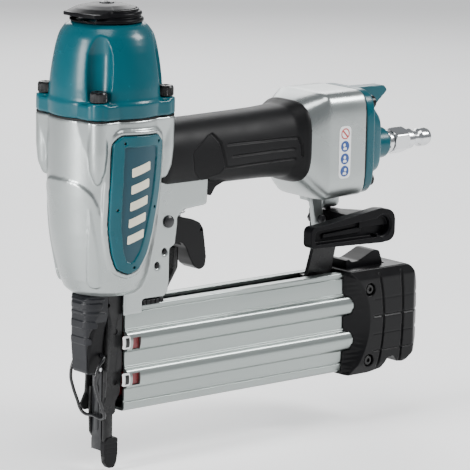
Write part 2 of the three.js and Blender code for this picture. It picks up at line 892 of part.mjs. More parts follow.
function magazineRail() {
  const bar = box(RAIL_FRONT, RAIL_STEP, BRAD_SLOT, 7.8, 33.5, RAIL_TOP);
  const ledge = box(RAIL_FRONT, RAIL_STEP, -2.2, 2, 33.5, 35.5);
  const tail = box(RAIL_STEP - 1, 166, BRAD_SLOT, 7.8, 33.5, 74);
  const springRecess = box(8, RAIL_STEP - 2, 0, 6, 50, 63);
  const screwHole = rod("z", TAP_HOLE, 70, 90, BRACKET_SCREW, 10);
  const weightRelief = [0, 1, 2, 3].map((i) => box(24 + i * 27, 42 + i * 27, 3, 9, 39, 46));
  return cut(join(bar, ledge, tail), springRecess, screwHole, ...weightRelief);
}

function pusher() {
  const plate = box(9, 24, -0.9, 0.6, 36, 79);
  const flags = WINDOWS.map(([low, high]) => box(8.8, 22, -11.2, -0.8, low + 0.6, high - 0.6));
  const post = rod("y", 1.7, 0.5, 5.4, [17, 56.5], 12);
  return join(plate, ...flags, post);
}

const pusherSpring = () => pipe("y", 5.6, 2, 1.4, 5.4, [17, 56.5], 20);

function magazineAdapter() {
  const plate = box(16.6, 29.6, -CHEEK_OUTER, CHEEK_OUTER, 84.4, 86.6);
  const web = box(16.6, 29.6, 1.2, 4.4, RAIL_TOP + 0.2, 85);
  return join(plate, web);
}

function endCap() {
  const side = outline([
    [END_FRONT, 85.6],
    [199, 85.6, 5],
    [204.4, 76, 8],
    [206, 58],
    [205.6, 38, 5],
    [203, 32.6, 3],
    [195.5, 30.4, 3],
    [189.6, 34, 3],
    [183, 30, 4],
    [170, 28.9],
    [END_FRONT, 28.9],
  ]);
  const body = prism("y", side, -END_HALF, END_HALF);
  const hollow = join(
    box(END_FRONT - 1, 180, -13.4, 13.4, 30, 84.3),
    box(179, 199, -13.4, 13.4, 36, 81),
  );
  const latchSlot = box(...LATCH_TOP_SLOT, -7.5, 7.5, 80, 90);
  const funnel = (s) => rod("y", 36, ...span(s, 14.3, 30), [132.5, 57], 24);
  const wells = (s) => join(
    ...END_SCREWS.map((place) => rod("y", 3.4, ...span(s, 14.6, 30), place)),
  );
  const shanks = END_SCREWS.map((place) => rod("y", 1.4, -20, -5, place, 10));
  const posts = END_SCREWS.map((place) => rod("y", 3, -14, -6.5, place));
  const shell = cut(body, hollow, latchSlot, bothSides(funnel));
  return cut(
    join(shell, ...posts),
    wells(-1),
    ...shanks,
    rod("y", PIN_HOLE, -15, 15, LATCH_PIVOT, 12),
  );
}

function endCapScrew(place) {
  const head = rod("y", 2.7, -16.4, -14.7, place, 14);
  return cut(join(head, rod("y", 1.2, -15, -6.6, place, 10)), rod("y", 1.1, -17, -15.5, place, 6));
}

function magazineLatch() {
  const lug = prism(
    "y",
    outline([
      [159.4, 83.6],
      [159.4, 88.6, 1],
      [164, 89.4, 6],
      [174, 91.6, 6],
      [180, 93.4, 2],
      [183.6, 93, 1.5],
      [185.6, 86],
      [185.6, 83.6],
    ]),
    -7,
    7,
  );
  const stem = join(box(168.4, 176, -4.4, 4.4, 79, 85), rod("y", 3, -4.4, 4.4, LATCH_PIVOT, 14));
  const pawl = prism(
    "y",
    [[158.8, 74.6], [161.6, 74.6], [162.4, 77.2], [172, 76.4], [172, 79.6], [159.6, 79.6]],
    -4.4,
    4.4,
  );
  return cut(join(lug, stem, pawl), rod("y", PIN_HOLE, -10, 10, LATCH_PIVOT, 12));
}

const latchPin = () => rod("y", 1.5, -14, 14, LATCH_PIVOT, 12);
const latchSpring = () => coil("y", LATCH_PIVOT, 2.5, 0.45, 4.9, 8.6, 4);

// ---- black steel bracket between the rail and the hook arm
function magazineBracket() {
  const strap = prism(
    "y",
    [
      [135.6, 81.2],
      [152.6, 81.2],
      [156.4, 97.5],
      [155.2, 103],
      [147, 107],
      [144.8, 110],
      [144.8, 120],
      [138.5, 120],
      [139.5, 110],
      [140.5, 97.5],
    ],
    -1.7,
    0.8,
  );
  const foot = box(136, 152.6, -1.7, 4.5, 81.2, 83.4);
  return cut(
    join(strap, foot),
    rod("z", TAP_HOLE, 80, 90, BRACKET_SCREW, 10),
    rod("y", PIN_HOLE, -5, 5, BRACKET_BOLT, 12),
  );
}

const bracketScrew = () =>
  join(rod("z", 1.1, 71, 84, BRACKET_SCREW, 10), rod("z", 1.7, 83.5, 84.8, BRACKET_SCREW, 10));
const bracketBolt = () =>
  join(
    rod("y", 1.5, -6.5, 2, BRACKET_BOLT, 12),
    rod("y", 2.6, -7, -5.6, BRACKET_BOLT, 12),
    rod("y", 2.6, 0.9, 2.6, BRACKET_BOLT, 6),
  );

// ---- belt hook
function beltHook() {
  const face = outline([
    [116.5, 105.4, 6],
    [160.2, 104, 9],
    [169, 105, 9],
    [169, 119, 9],
    [158.4, 122, 9],
    [116.5, 116.8, 6],
    [110.4, 116.8, 6],
    [110.4, 105.4, 6],
  ]);
  const arm = prism("y", face, HOOK_FACE, HOOK_FACE + 6.4, 4);
  const slot = prism(
    "y",
    outline([[116, 108.6], [156, 108.4], [156, 114.6], [116, 112.6]], 1.5),
    HOOK_FACE - 1,
    HOOK_FACE + 4.6,
  );
  const keyhole = rod("y", 4.6, HOOK_FACE - 1, HOOK_FACE + 4.6, [158.6, 113], 14);
  const web = prism(
    "z",
    outline([[146.5, -30], [168.4, -30], [166, -16, 6], [157, -4, 3], [157, 4, 4], [146.5, 4, 4]]),
    112.4,
    117.8,
  );
  return cut(join(cut(arm, slot, keyhole), web), rod("z", 1.7, 100, 130, [HOOK_PIVOT_X, 0], 12));
}

const hookScrew = () =>
  join(
    rod("z", 1.5, 110, 126, [HOOK_PIVOT_X, 0], 12),
    rod("z", 3, 109, 112.2, [HOOK_PIVOT_X, 0], 14),
  );

// ---- grip, rear cap and air plug
function gripSleeve() {
  const outside = loft([
    { x: 25.5, low: 142, high: 174.4, half: 16.4, power: 2.4 },
    { x: 30, low: 140.6, high: 175.2, half: 17.2, power: 2.4 },
    { x: 60, low: 140.2, high: 175.6, half: 17, power: 2.4 },
    { x: 95, low: 139.8, high: 176.2, half: 17, power: 2.4 },
    { x: 113, low: 139, high: 177, half: 18, power: 2.6 },
    { x: 121, low: 138.6, high: 177.2, half: 18.6, power: 2.8 },
  ]);
  const horn = prism(
    "y",
    outline([[55, 144], [58, 139, 3], [61.2, 134.6, 1], [64.4, 140], [70, 142]]),
    -10,
    10,
  );
  const enlarged = (section) => ({
    ...section,
    low: section.low - GAP,
    high: section.high + GAP,
    half: section.half + GAP,
  });
  const core = loft([{ x: HANDLE_ROOT, ...HANDLE }, ...TANK.slice(0, 4)].map(enlarged));
  const barrelRoom = turned(
    "z",
    [[0, 120], [28.5, 120], [29.4, 150], [29.4, 190], [0, 190]],
    [0, 0],
    24,
  );
  const boltRoom = boltPlaces.map((place) => rod("z", 5.4, 120, 190, place, 8));
  const bracketRoom = prism(
    "y",
    outline([[20, 120], [57.8, 120], [57.8, 140.2, 4], [54.3, 147.3], [20, 147.3]]),
    -CHEEK_OUTER - GAP,
    CHEEK_OUTER + GAP,
  );
  const cheekRoom = box(0, 58.3, -CHEEK_OUTER - GAP, CHEEK_OUTER + GAP, 120, 150.3);
  return cut(join(outside, horn), core, barrelRoom, ...boltRoom, bracketRoom, cheekRoom);
}

const REAR_SECTION = { low: 126.8, high: 182.8, half: 22, power: 4 };

function rearGasket() {
  const x = TANK_REAR + 0.1;
  const section = (at, inset) => ({
    x: at,
    low: REAR_SECTION.low + inset,
    high: REAR_SECTION.high - inset,
    half: REAR_SECTION.half - inset,
    power: 4,
  });
  const sheet = loft([section(x, 0.6), section(x + 0.6, 0.6)]);
  const opening = loft([section(x - 1, 5.8), section(x + 2, 5.8)], 16);
  return cut(
    sheet,
    opening,
    ...REAR_SCREWS.map((place) => rod("x", BOLT_HOLE, x - 1, x + 2, place, 10)),
  );
}

function rearCap() {
  const x = TANK_REAR + 0.8;
  const shell = loft([
    { x, ...REAR_SECTION },
    { x: x + 5, ...REAR_SECTION },
    { x: x + 9.5, low: 129, high: 180.6, half: 20, power: 3.6 },
    { x: x + 14, low: 134, high: 174, half: 15.5, power: 3 },
    { x: 177.6, low: 139, high: 168, half: 11.5, power: 2.4 },
  ]);
  const boss = rod("x", 8.5, 170, 188.3, [0, PLUG_Z], 20);
  const ear = prism(
    "y",
    outline(
      [[162, 172], [165, 181.5, 3], [186, 181.2, 2], [188.9, 177, 2], [180, 170, 5], [172, 160]],
    ),
    -4,
    4,
  );
  const hollow = loft(
    [
      { x: x - 1, low: 133, high: 176.6, half: 16, power: 3.4 },
      { x: x + 6, low: 133, high: 176.6, half: 16, power: 3.4 },
      { x: x + 11, low: 139, high: 168, half: 11, power: 2.6 },
    ],
    16,
  );
  const thread = rod("x", 5.6, 160, 190, [0, PLUG_Z], 16);
  const seats = REAR_SCREWS.map((place) => rod("x", 4, x + 5, x + 20, place, 10));
  const shanks = REAR_SCREWS.map((place) => rod("x", BOLT_HOLE, x - 1, x + 20, place, 8));
  return cut(join(shell, boss, ear), hollow, thread, ...seats, ...shanks);
}

function rearScrew(place) {
  const seat = TANK_REAR + 6.1;
  const shank = rod("x", 1.7, 144, seat, place, 8);
  return cut(
    join(shank, rod("x", 3.6, seat - 0.1, seat + 4, place, 12)),
    rod("x", 1.8, seat + 2, seat + 5, place, 6),
  );
}

function airPlug() {
  const body = turned(
    "x",
    [
      [0, 176],
      [5.3, 176],
      [5.3, 190],
      [4.9, 193.8],
      [4.9, 209.6],
      [3.7, 211],
      [3.7, 214],
      [5, 216],
      [5, 219.5],
      [4.2, PLUG_END],
      [0, PLUG_END],
    ],
    [0, PLUG_Z],
    16,
  );
  const hexagon = rod("x", 7.2, 194, 204, [0, PLUG_Z], 6);
  return cut(join(body, hexagon), rod("x", PLUG_BORE, 170, 230, [0, PLUG_Z], 12));
}

// ---------------------------------------------------------------- what the tool is made of
const f = finishes;
piece("housing", housing(), f.castAluminium);
piece("cylinder_cap", cylinderCap(), f.tealPaint);
piece("cap_gasket", capGasket(), f.seal);
boltPlaces.forEach((place, i) => piece(`cap_bolt_${i + 1}`, socketBolt(place), f.blackSteel));
piece("exhaust_deflector", exhaustDeflector(), f.blackPlastic);
piece("deflector_screw", deflectorScrew(), f.blackSteel);
piece("side_plate_left", sidePlate(-1), f.tealPaint);
piece("side_plate_right", sidePlate(1), f.tealPaint);
piece("grip_sleeve", gripSleeve(), f.blackRubber);
piece("rear_cap", rearCap(), f.tealPaint);
piece("rear_gasket", rearGasket(), f.seal);
REAR_SCREWS.forEach((place, i) => piece(`rear_screw_${i + 1}`, rearScrew(place), f.blackSteel));
piece("air_plug", airPlug(), f.brightSteel);

piece("cylinder_sleeve", cylinderSleeve(), f.extrudedAluminium);
piece("bumper", bumper(), f.blackRubber);
piece("piston", piston(), f.extrudedAluminium);
piece("piston_ring", pistonRing(), f.seal);
piece("driver_blade", driverBlade(), f.brightSteel);
piece("head_valve", headValve(), f.blackPlastic);
piece("head_valve_spring", headValveSpring(), f.brightSteel);
piece("trigger_valve_body", valveBody(), f.brass);
piece("valve_plunger", valvePlunger(), f.brightSteel);

piece("trigger", trigger(), f.blackPlastic);
piece("trigger_idler", triggerIdler(), f.blackSteel);
piece("trigger_pin", triggerPin(), f.blackSteel);
piece("trigger_spring", triggerSpring(), f.brightSteel);
piece("guide_pin_upper", guidePin(GUIDE_PINS[0]), f.blackSteel);
piece("guide_pin_lower", guidePin(GUIDE_PINS[1]), f.blackSteel);

piece("contact_arm", contactArm(), f.blackSteel);
piece("contact_tip", contactTip(), f.blackRubber);
piece("contact_spring", contactSpring(), f.brightSteel);

piece("driver_guide", driverGuide(), f.blackSteel);
piece("nose_door", noseDoor(), f.blackSteel);
piece("door_pin", doorPin(), f.brightSteel);
piece("jam_lever", jamLever(), f.blackPlastic);
piece("lever_pin", leverPin(), f.brightSteel);
piece("jam_bail", jamBail(), f.blackSteel);

piece("magazine_adapter", magazineAdapter(), f.blackPlastic);
piece("magazine_rail", magazineRail(), f.blackSteel);
piece("magazine_cover", magazineCover(), f.extrudedAluminium);
piece("pusher", pusher(), f.redPlastic);
piece("pusher_spring", pusherSpring(), f.brightSteel);
piece("magazine_end_cap", endCap(), f.blackPlastic);
piece("end_cap_screw_upper", endCapScrew(END_SCREWS[0]), f.blackSteel);
piece("end_cap_screw_lower", endCapScrew(END_SCREWS[1]), f.blackSteel);
piece("magazine_latch", magazineLatch(), f.blackPlastic);
piece("latch_pin", latchPin(), f.brightSteel);
piece("latch_spring", latchSpring(), f.brightSteel);
piece("magazine_bracket", magazineBracket(), f.blackSteel);
piece("bracket_screw", bracketScrew(), f.blackSteel);
piece("bracket_bolt", bracketBolt(), f.blackSteel);
piece("belt_hook", beltHook(), f.blackPlastic);
piece("hook_screw", hookScrew(), f.blackSteel);

nailer.position.z = -CONTACT_TRAVEL;

export default nailer;
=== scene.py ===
import json
import math

import bmesh
import bpy
from mathutils import Matrix, Vector


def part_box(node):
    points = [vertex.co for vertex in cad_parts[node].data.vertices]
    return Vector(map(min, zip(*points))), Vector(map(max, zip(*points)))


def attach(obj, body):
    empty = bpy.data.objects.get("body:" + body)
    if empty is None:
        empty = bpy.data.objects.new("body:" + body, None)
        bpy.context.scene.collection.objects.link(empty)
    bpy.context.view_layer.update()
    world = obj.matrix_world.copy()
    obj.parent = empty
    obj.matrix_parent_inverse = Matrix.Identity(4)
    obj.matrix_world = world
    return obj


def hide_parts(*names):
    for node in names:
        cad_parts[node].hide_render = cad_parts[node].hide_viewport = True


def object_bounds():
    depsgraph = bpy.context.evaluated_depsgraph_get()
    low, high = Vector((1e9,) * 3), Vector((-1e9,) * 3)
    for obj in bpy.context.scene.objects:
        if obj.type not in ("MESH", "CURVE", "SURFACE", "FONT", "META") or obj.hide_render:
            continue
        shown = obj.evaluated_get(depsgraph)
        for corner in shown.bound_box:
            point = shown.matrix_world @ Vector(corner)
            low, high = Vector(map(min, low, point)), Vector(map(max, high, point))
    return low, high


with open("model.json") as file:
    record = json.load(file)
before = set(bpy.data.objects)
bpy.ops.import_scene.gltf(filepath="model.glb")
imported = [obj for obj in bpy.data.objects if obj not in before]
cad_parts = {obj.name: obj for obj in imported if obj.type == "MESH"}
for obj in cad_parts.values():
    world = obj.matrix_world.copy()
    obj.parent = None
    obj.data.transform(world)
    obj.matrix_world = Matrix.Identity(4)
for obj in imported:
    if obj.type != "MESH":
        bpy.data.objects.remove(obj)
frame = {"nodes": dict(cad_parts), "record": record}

CAD_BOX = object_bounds()

# ---------------------------------------------------------------- measures
# Shapes are drawn in millimetres, with heights counted from the face of the contact tip. The frame's
# origin is higher by the contact tip's travel.
MM = 0.001
TRAVEL = -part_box("contact_tip")[0].z / MM
TO_FRAME = Matrix.Scale(MM, 4) @ Matrix.Translation((0, 0, -TRAVEL))


class Extent:
    """A CAD node's box, in millimetres, with heights from the face of the contact tip."""

    def __init__(self, node):
        low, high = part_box(node)
        self.x0, self.y0, self.z0 = low.x / MM, low.y / MM, low.z / MM + TRAVEL
        self.x1, self.y1, self.z1 = high.x / MM, high.y / MM, high.z / MM + TRAVEL
        self.x, self.y, self.z = (self.x0 + self.x1) / 2, (self.y0 + self.y1) / 2, (self.z0 + self.z1) / 2
        self.half = (self.y1 - self.y0) / 2


BOX = {node: Extent(node) for node in frame["nodes"]}

# ---------------------------------------------------------------- camera
CAMERA_TURN = math.radians(40.87)
CAMERA_PITCH = math.radians(11.02)
CAMERA_ROLL = math.radians(1.22)
CAMERA_DISTANCE = 1688.7
CAMERA_AIM = (68.2, 117.9)
LENS = 255.17
SENSOR_WIDTH = 36
NEAREST = 0.05
FARTHEST = 20


def make_camera():
    turn, pitch, roll = CAMERA_TURN, CAMERA_PITCH, CAMERA_ROLL
    look = Vector((math.sin(turn) * math.cos(pitch), math.cos(turn) * math.cos(pitch), -math.sin(pitch)))
    level = Vector((math.cos(turn), -math.sin(turn), 0))
    upward = level.cross(look)
    right = math.cos(roll) * level + math.sin(roll) * upward
    up = -math.sin(roll) * level + math.cos(roll) * upward
    place = right * CAMERA_AIM[0] + up * CAMERA_AIM[1] - look * CAMERA_DISTANCE
    camera = bpy.data.objects.new("camera", bpy.data.cameras.new("camera"))
    camera.data.lens = LENS
    camera.data.sensor_width = SENSOR_WIDTH
    camera.data.clip_start = NEAREST
    camera.data.clip_end = FARTHEST
    axes = Matrix((right, up, -look)).transposed().to_4x4()
    camera.matrix_world = Matrix.Translation(TO_FRAME @ place) @ axes
    bpy.context.scene.collection.objects.link(camera)
    bpy.context.scene.camera = camera


make_camera()


# ---------------------------------------------------------------- shapes
ARC_STEP = math.radians(9)
FINE_STEP = math.radians(6)
ALL_SMOOTH = 180
SOFTENING = 0.5
GAP = 0.3
PIN_BORE = 1.15
SCREW_ROOM = 2


def link(mesh, name="shape"):
    made = bpy.data.objects.new(name, mesh)
    bpy.context.scene.collection.objects.link(made)
    return made


def solid(points, faces):
    """A mesh object from points and faces, with its faces turned outwards."""
    mesh = bpy.data.meshes.new("shape")
    mesh.from_pydata(points, [], faces)
    bm = bmesh.new()
    bm.from_mesh(mesh)
    bmesh.ops.remove_doubles(bm, verts=bm.verts, dist=1e-5)
    bmesh.ops.recalc_face_normals(bm, faces=bm.faces)
    bm.to_mesh(mesh)
    bm.free()
    return link(mesh)


def along(axis, a, b, depth):
    """A drawing's two coordinates and its depth along an axis, as a point."""
    if axis == "x":
        return (depth, a, b)
    if axis == "y":
        return (a, depth, b)
    return (a, b, depth)


def rounded(corners, radius=0, step=ARC_STEP, closed=True):
    """Corner points (a, b) or (a, b, radius), with each corner replaced by an arc."""
    made = []
    count = len(corners)
    for i, corner in enumerate(corners):
        here = Vector(corner[:2])
        reach = corner[2] if len(corner) > 2 else radius
        if reach <= 0 or (not closed and i in (0, count - 1)):
            made.append(tuple(here))
            continue
        before = Vector(corners[i - 1][:2]) - here
        after = Vector(corners[(i + 1) % count][:2]) - here
        half = before.angle(after) / 2
        if half > math.radians(89.5):
            made.append(tuple(here))
            continue
        tangent = min(reach / math.tan(half), before.length * 0.49, after.length * 0.49)
        r = tangent * math.tan(half)
        centre = here + (before.normalized() + after.normalized()).normalized() * (r / math.sin(half))
        start = here + before.normalized() * tangent - centre
        finish = here + after.normalized() * tangent - centre
        sweep = math.pi - 2 * half
        steps = max(1, math.ceil(sweep / step))
        sign = 1 if start.x * finish.y - start.y * finish.x > 0 else -1
        for k in range(steps + 1):
            turn = sign * sweep * k / steps
            made.append(tuple(centre + Matrix.Rotation(turn, 2) @ start))
    return made


def prism(axis, corners, low, high, radius=0, step=ARC_STEP):
    ring = rounded(corners, radius, step)
    count = len(ring)
    points = [along(axis, a, b, d) for d in (low, high) for a, b in ring]
    faces = [tuple(range(count)), tuple(range(count, 2 * count))]
    faces += [(i, (i + 1) % count, (i + 1) % count + count, i + count) for i in range(count)]
    return solid(points, faces)


def block(x0, x1, y0, y1, z0, z1, radius=0):
    return prism("x", [(y0, z0), (y1, z0), (y1, z1), (y0, z1)], x0, x1, radius)


def lathe(axis, profile, centre=(0, 0), sides=96, start=0.0):
    """A solid of revolution; profile points are (radius, place along the axis, corner radius)."""
    curve = rounded(profile, closed=profile[0][0] > 0)
    points, rings = [], []
    for r, place in curve:
        if r < 1e-6:
            rings.append([len(points)])
            points.append(along(axis, centre[0], centre[1], place))
            continue
        rings.append(list(range(len(points), len(points) + sides)))
        for k in range(sides):
            turn = start + 2 * math.pi * k / sides
            a, b = centre[0] + r * math.cos(turn), centre[1] + r * math.sin(turn)
            points.append(along(axis, a, b, place))
    faces = []
    pairs = list(zip(rings, rings[1:]))
    if profile[0][0] > 0:
        pairs.append((rings[-1], rings[0]))
    for lower, upper in pairs:
        for k in range(sides):
            j = (k + 1) % sides
            corner = [
                lower[k % len(lower)], lower[j % len(lower)], upper[j % len(upper)], upper[k % len(upper)]
            ]
            corner = list(dict.fromkeys(corner))
            if len(corner) > 2:
                faces.append(corner)
    return solid(points, faces)


def rod(axis, r, low, high, centre=(0, 0), sides=48, edge=0.0, start=0.0):
    profile = [(0, low), (r, low, edge), (r, high, edge), (0, high)]
    return lathe(axis, profile, centre, sides, start=start)


def eased(sections, x):
    """A cross-section (low, high, half, power) at x, on a smooth curve through the given sections."""
    places = [s[0] for s in sections]
    if x <= places[0]:
        return sections[0][1:]
    if x >= places[-1]:
        return sections[-1][1:]
    i = max(k for k in range(len(places) - 1) if places[k] <= x)
    width = places[i + 1] - places[i]
    t = (x - places[i]) / width

    def slope(k, c):
        if k == 0 or k == len(places) - 1:
            return 0.0
        before = (sections[k][c] - sections[k - 1][c]) / (places[k] - places[k - 1])
        after = (sections[k + 1][c] - sections[k][c]) / (places[k + 1] - places[k])
        return 0.0 if before * after <= 0 else 2 * before * after / (before + after)

    values = []
    for c in range(1, 5):
        p, q = sections[i][c], sections[i + 1][c]
        m, n = slope(i, c) * width, slope(i + 1, c) * width
        values.append(
            (
                2 * t**3 - 3 * t**2 + 1
            ) * p + (t**3 - 2 * t**2 + t) * m + (3 * t**2 - 2 * t**3) * q + (t**3 - t**2) * n
        )
    return values


def loft(sections, pace=1.5, sides=96):
    """A solid along X through superellipse sections (x, low, high, half, power)."""
    first, last = sections[0][0], sections[-1][0]
    count = max(2, round((last - first) / pace))
    points = []
    for s in range(count + 1):
        x = first + (last - first) * s / count
        low, high, half, power = eased(sections, x)
        for k in range(sides):
            turn = 2 * math.pi * k / sides
            a, b = math.cos(turn), math.sin(turn)
            y = half * math.copysign(abs(a) ** (2 / power), a)
            z = (low + high) / 2 + (high - low) / 2 * math.copysign(abs(b) ** (2 / power), b)
            points.append((x, y, z))
    faces = [tuple(range(sides)), tuple(range(count * sides, (count + 1) * sides))]
    for s in range(count):
        for k in range(sides):
            j = (k + 1) % sides
            faces.append((s * sides + k, s * sides + j, (s + 1) * sides + j, (s + 1) * sides + k))
    return solid(points, faces)


def tube(points, radius, sides=6, fine=8):
    """Round wire through points."""
    curve = bpy.data.curves.new("wire", "CURVE")
    curve.dimensions = "3D"
    curve.bevel_depth = radius
    curve.bevel_resolution = sides
    curve.resolution_u = fine
    curve.use_fill_caps = True
    line = curve.splines.new("BEZIER")
    line.bezier_points.add(len(points) - 1)
    for knot, point in zip(line.bezier_points, points):
        knot.co = point
        knot.handle_left_type = knot.handle_right_type = "AUTO"
    holder = link(curve)
    mesh = bpy.data.meshes.new_from_object(holder)
    bpy.data.objects.remove(holder)
    return link(mesh)


def stacked(rings):
    """A closed solid through rings of equally many points, each ring joined to the next."""
    size = len(rings[0])
    faces = [tuple(range(size)), tuple(range((len(rings) - 1) * size, len(rings) * size))]
    for row in range(len(rings) - 1):
        for i in range(size):
            a = row * size + i
            b = row * size + (i + 1) % size
            faces.append((a, b, b + size, a + size))
    return solid([point for ring in rings for point in ring], faces)


def turned(made, turn=0.0, axis="Z", about=(0, 0, 0)):
    """Turns a shape about a point by degrees."""
    pivot = Matrix.Translation(about)
    made.data.transform(pivot @ Matrix.Rotation(math.radians(turn), 4, axis) @ pivot.inverted())
    return made


def duplicate(made):
    return link(made.data.copy())


def applied(made):
    depsgraph = bpy.context.evaluated_depsgraph_get()
    mesh = bpy.data.meshes.new_from_object(made.evaluated_get(depsgraph))
    made.modifiers.clear()
    made.data = mesh
    return made


def combined(base, tools, operation):
    for tool in tools:
        step = base.modifiers.new("step", "BOOLEAN")
        step.operation = operation
        step.solver = "MANIFOLD"
        step.object = tool
    applied(base)
    for tool in tools:
        bpy.data.objects.remove(tool)
    return base


def join(base, *others):
    return combined(base, others, "UNION")


def cut(base, *tools):
    return combined(base, tools, "DIFFERENCE")


def common(base, *tools):
    return combined(base, tools, "INTERSECT")


def cast(made, grain, passes=4):
    """Remakes a solid as one even skin with soft edges, as a casting or moulding has."""
    skin = made.modifiers.new("skin", "REMESH")
    skin.mode = "VOXEL"
    skin.voxel_size = grain
    soften = made.modifiers.new("soften", "SMOOTH")
    soften.iterations = passes
    soften.factor = SOFTENING
    return applied(made)


def edged(made, width=0.25, segments=2, angle=32):
    """Rounds a solid's sharp edges."""
    step = made.modifiers.new("edge", "BEVEL")
    step.width = width
    step.segments = segments
    step.limit_method = "ANGLE"
    step.angle_limit = math.radians(angle)
    step.use_clamp_overlap = True
    step.harden_normals = False
    return applied(made)


def piece(made, name, material, body, stands_for=(), crease=35):
    """Puts a finished shape into the frame, with its shading, material, body and the nodes it stands for."""
    made.data.transform(TO_FRAME)
    made.name = name
    made.data.name = name
    made.data.materials.clear()
    made.data.materials.append(material)
    bm = bmesh.new()
    bm.from_mesh(made.data)
    for face in bm.faces:
        face.smooth = True
        face.material_index = 0
    for edge in bm.edges:
        if len(edge.link_faces) == 2 and edge.calc_face_angle(0) > math.radians(crease):
            edge.smooth = False
    bm.to_mesh(made.data)
    bm.free()
    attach(made, body)
    if stands_for:
        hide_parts(*stands_for)
    return made


# ---------------------------------------------------------------- materials
COAT_ROUGHNESS = 0.16
EDGE_START = 0.53
EDGE_END = 0.62
RIPPLE_SCALE = 260.0
FLOOR_GLOW = 0.3


def wired(tree, kind, **values):
    """A new node; values set its inputs by name, or link them where a socket is given."""
    made = tree.nodes.new(kind)
    for key, value in values.items():
        socket = made.inputs[key.replace("_", " ")]
        if isinstance(value, bpy.types.NodeSocket):
            tree.links.new(value, socket)
        else:
            socket.default_value = value
    return made


def noise(tree, place, scale, detail=3.0, stretch=(1, 1, 1)):
    spread = wired(tree, "ShaderNodeMapping", Vector=place, Scale=stretch)
    return wired(
        tree, "ShaderNodeTexNoise", Vector=spread.outputs[0], Scale=scale, Detail=detail
    ).outputs["Fac"]


def ranged(tree, value, low, high, start=0.3, end=0.7):
    made = wired(tree, "ShaderNodeMapRange", Value=value)
    made.inputs["From Min"].default_value = start
    made.inputs["From Max"].default_value = end
    made.inputs["To Min"].default_value = low
    made.inputs["To Max"].default_value = high
    return made.outputs[0]


def blended(tree, share, first, second):
    made = tree.nodes.new("ShaderNodeMix")
    made.data_type = "RGBA"
    tree.links.new(share, made.inputs["Factor"])
    colour_inputs = [s for s in made.inputs if s.type == "RGBA"]
    for socket, value in zip(colour_inputs, (first, second)):
        if isinstance(value, bpy.types.NodeSocket):
            tree.links.new(value, socket)
        else:
            socket.default_value = (*value, 1)
    return next(s for s in made.outputs if s.type == "RGBA")


def surface(
    name, colour, roughness, metallic=0.0, coat=0.0, spread=0.05, mottle=0.1, patch=45.0, grain=1500.0,
    height=0.01, ripple=0.0, stretch=(1, 1, 1), wear_and_highlight_colour=None, wear_and_highlight_amount=0.5, shine=0.5
):
    """A procedural finish: mottled colour, uneven gloss, fine grain (height in mm) and lighter edges, partly
    rubbed wear and partly painted highlight.
    """
    made = bpy.data.materials.new(name)
    made.use_nodes = True
    made.diffuse_color = (*colour, 1)
    tree = made.node_tree
    skin = tree.nodes["Principled BSDF"]
    skin.inputs["Metallic"].default_value = metallic
    skin.inputs["Coat Weight"].default_value = coat
    skin.inputs["Coat Roughness"].default_value = COAT_ROUGHNESS
    skin.inputs["Specular IOR Level"].default_value = shine
    place = tree.nodes.new("ShaderNodeTexCoord").outputs["Object"]
    clouds = noise(tree, place, patch, 4.0, stretch)
    fine = noise(tree, place, grain, 2.0, stretch)
    darker = tuple(c * (1 - mottle) for c in colour)
    lighter = tuple(min(1, c * (1 + mottle)) for c in colour)
    tint = blended(tree, ranged(tree, clouds, 0, 1), darker, lighter)
    speck = blended(tree, ranged(tree, fine, 0, mottle), tint, lighter)
    if wear_and_highlight_colour:
        # Convex edges, found by pointiness, take the lighter edge colour: partly rubbed wear, partly painted
        # highlight.
        edge = tree.nodes.new("ShaderNodeNewGeometry").outputs["Pointiness"]
        rubbed_and_highlit_edge = ranged(tree, edge, 0, wear_and_highlight_amount, EDGE_START, EDGE_END)
        patchy = tree.nodes.new("ShaderNodeMath")
        patchy.operation = "MULTIPLY"
        tree.links.new(rubbed_and_highlit_edge, patchy.inputs[0])
        tree.links.new(ranged(tree, clouds, 0.2, 1), patchy.inputs[1])
        speck = blended(tree, patchy.outputs[0], speck, wear_and_highlight_colour)
    tree.links.new(speck, skin.inputs["Base Color"])
    gloss = ranged(tree, clouds, max(0.02, roughness - spread), min(1, roughness + spread))
    tree.links.new(gloss, skin.inputs["Roughness"])
    relief = tree.nodes.new("ShaderNodeBump")
    relief.inputs["Distance"].default_value = height * MM
    relief.inputs["Strength"].default_value = 1
    tree.links.new(fine, relief.inputs["Height"])
    if ripple:
        waves = tree.nodes.new("ShaderNodeBump")
        waves.inputs["Distance"].default_value = ripple * MM
        tree.links.new(noise(tree, place, RIPPLE_SCALE, 1.0), waves.inputs["Height"])
        tree.links.new(waves.outputs[0], relief.inputs["Normal"])
    tree.links.new(relief.outputs[0], skin.inputs["Normal"])
    return made


SILVER = surface(
    "silver_paint", (0.33, 0.355, 0.35), roughness=0.3, metallic=0.9, coat=0.1, mottle=0.05, patch=30,
    grain=2600, height=0.012, ripple=0.02
)
EXTRUSION = surface(
    "anodised_extrusion", (0.29, 0.32, 0.31), roughness=0.33, metallic=0.95, mottle=0.06, patch=50,
    grain=900, stretch=(0.02, 1, 1)
)
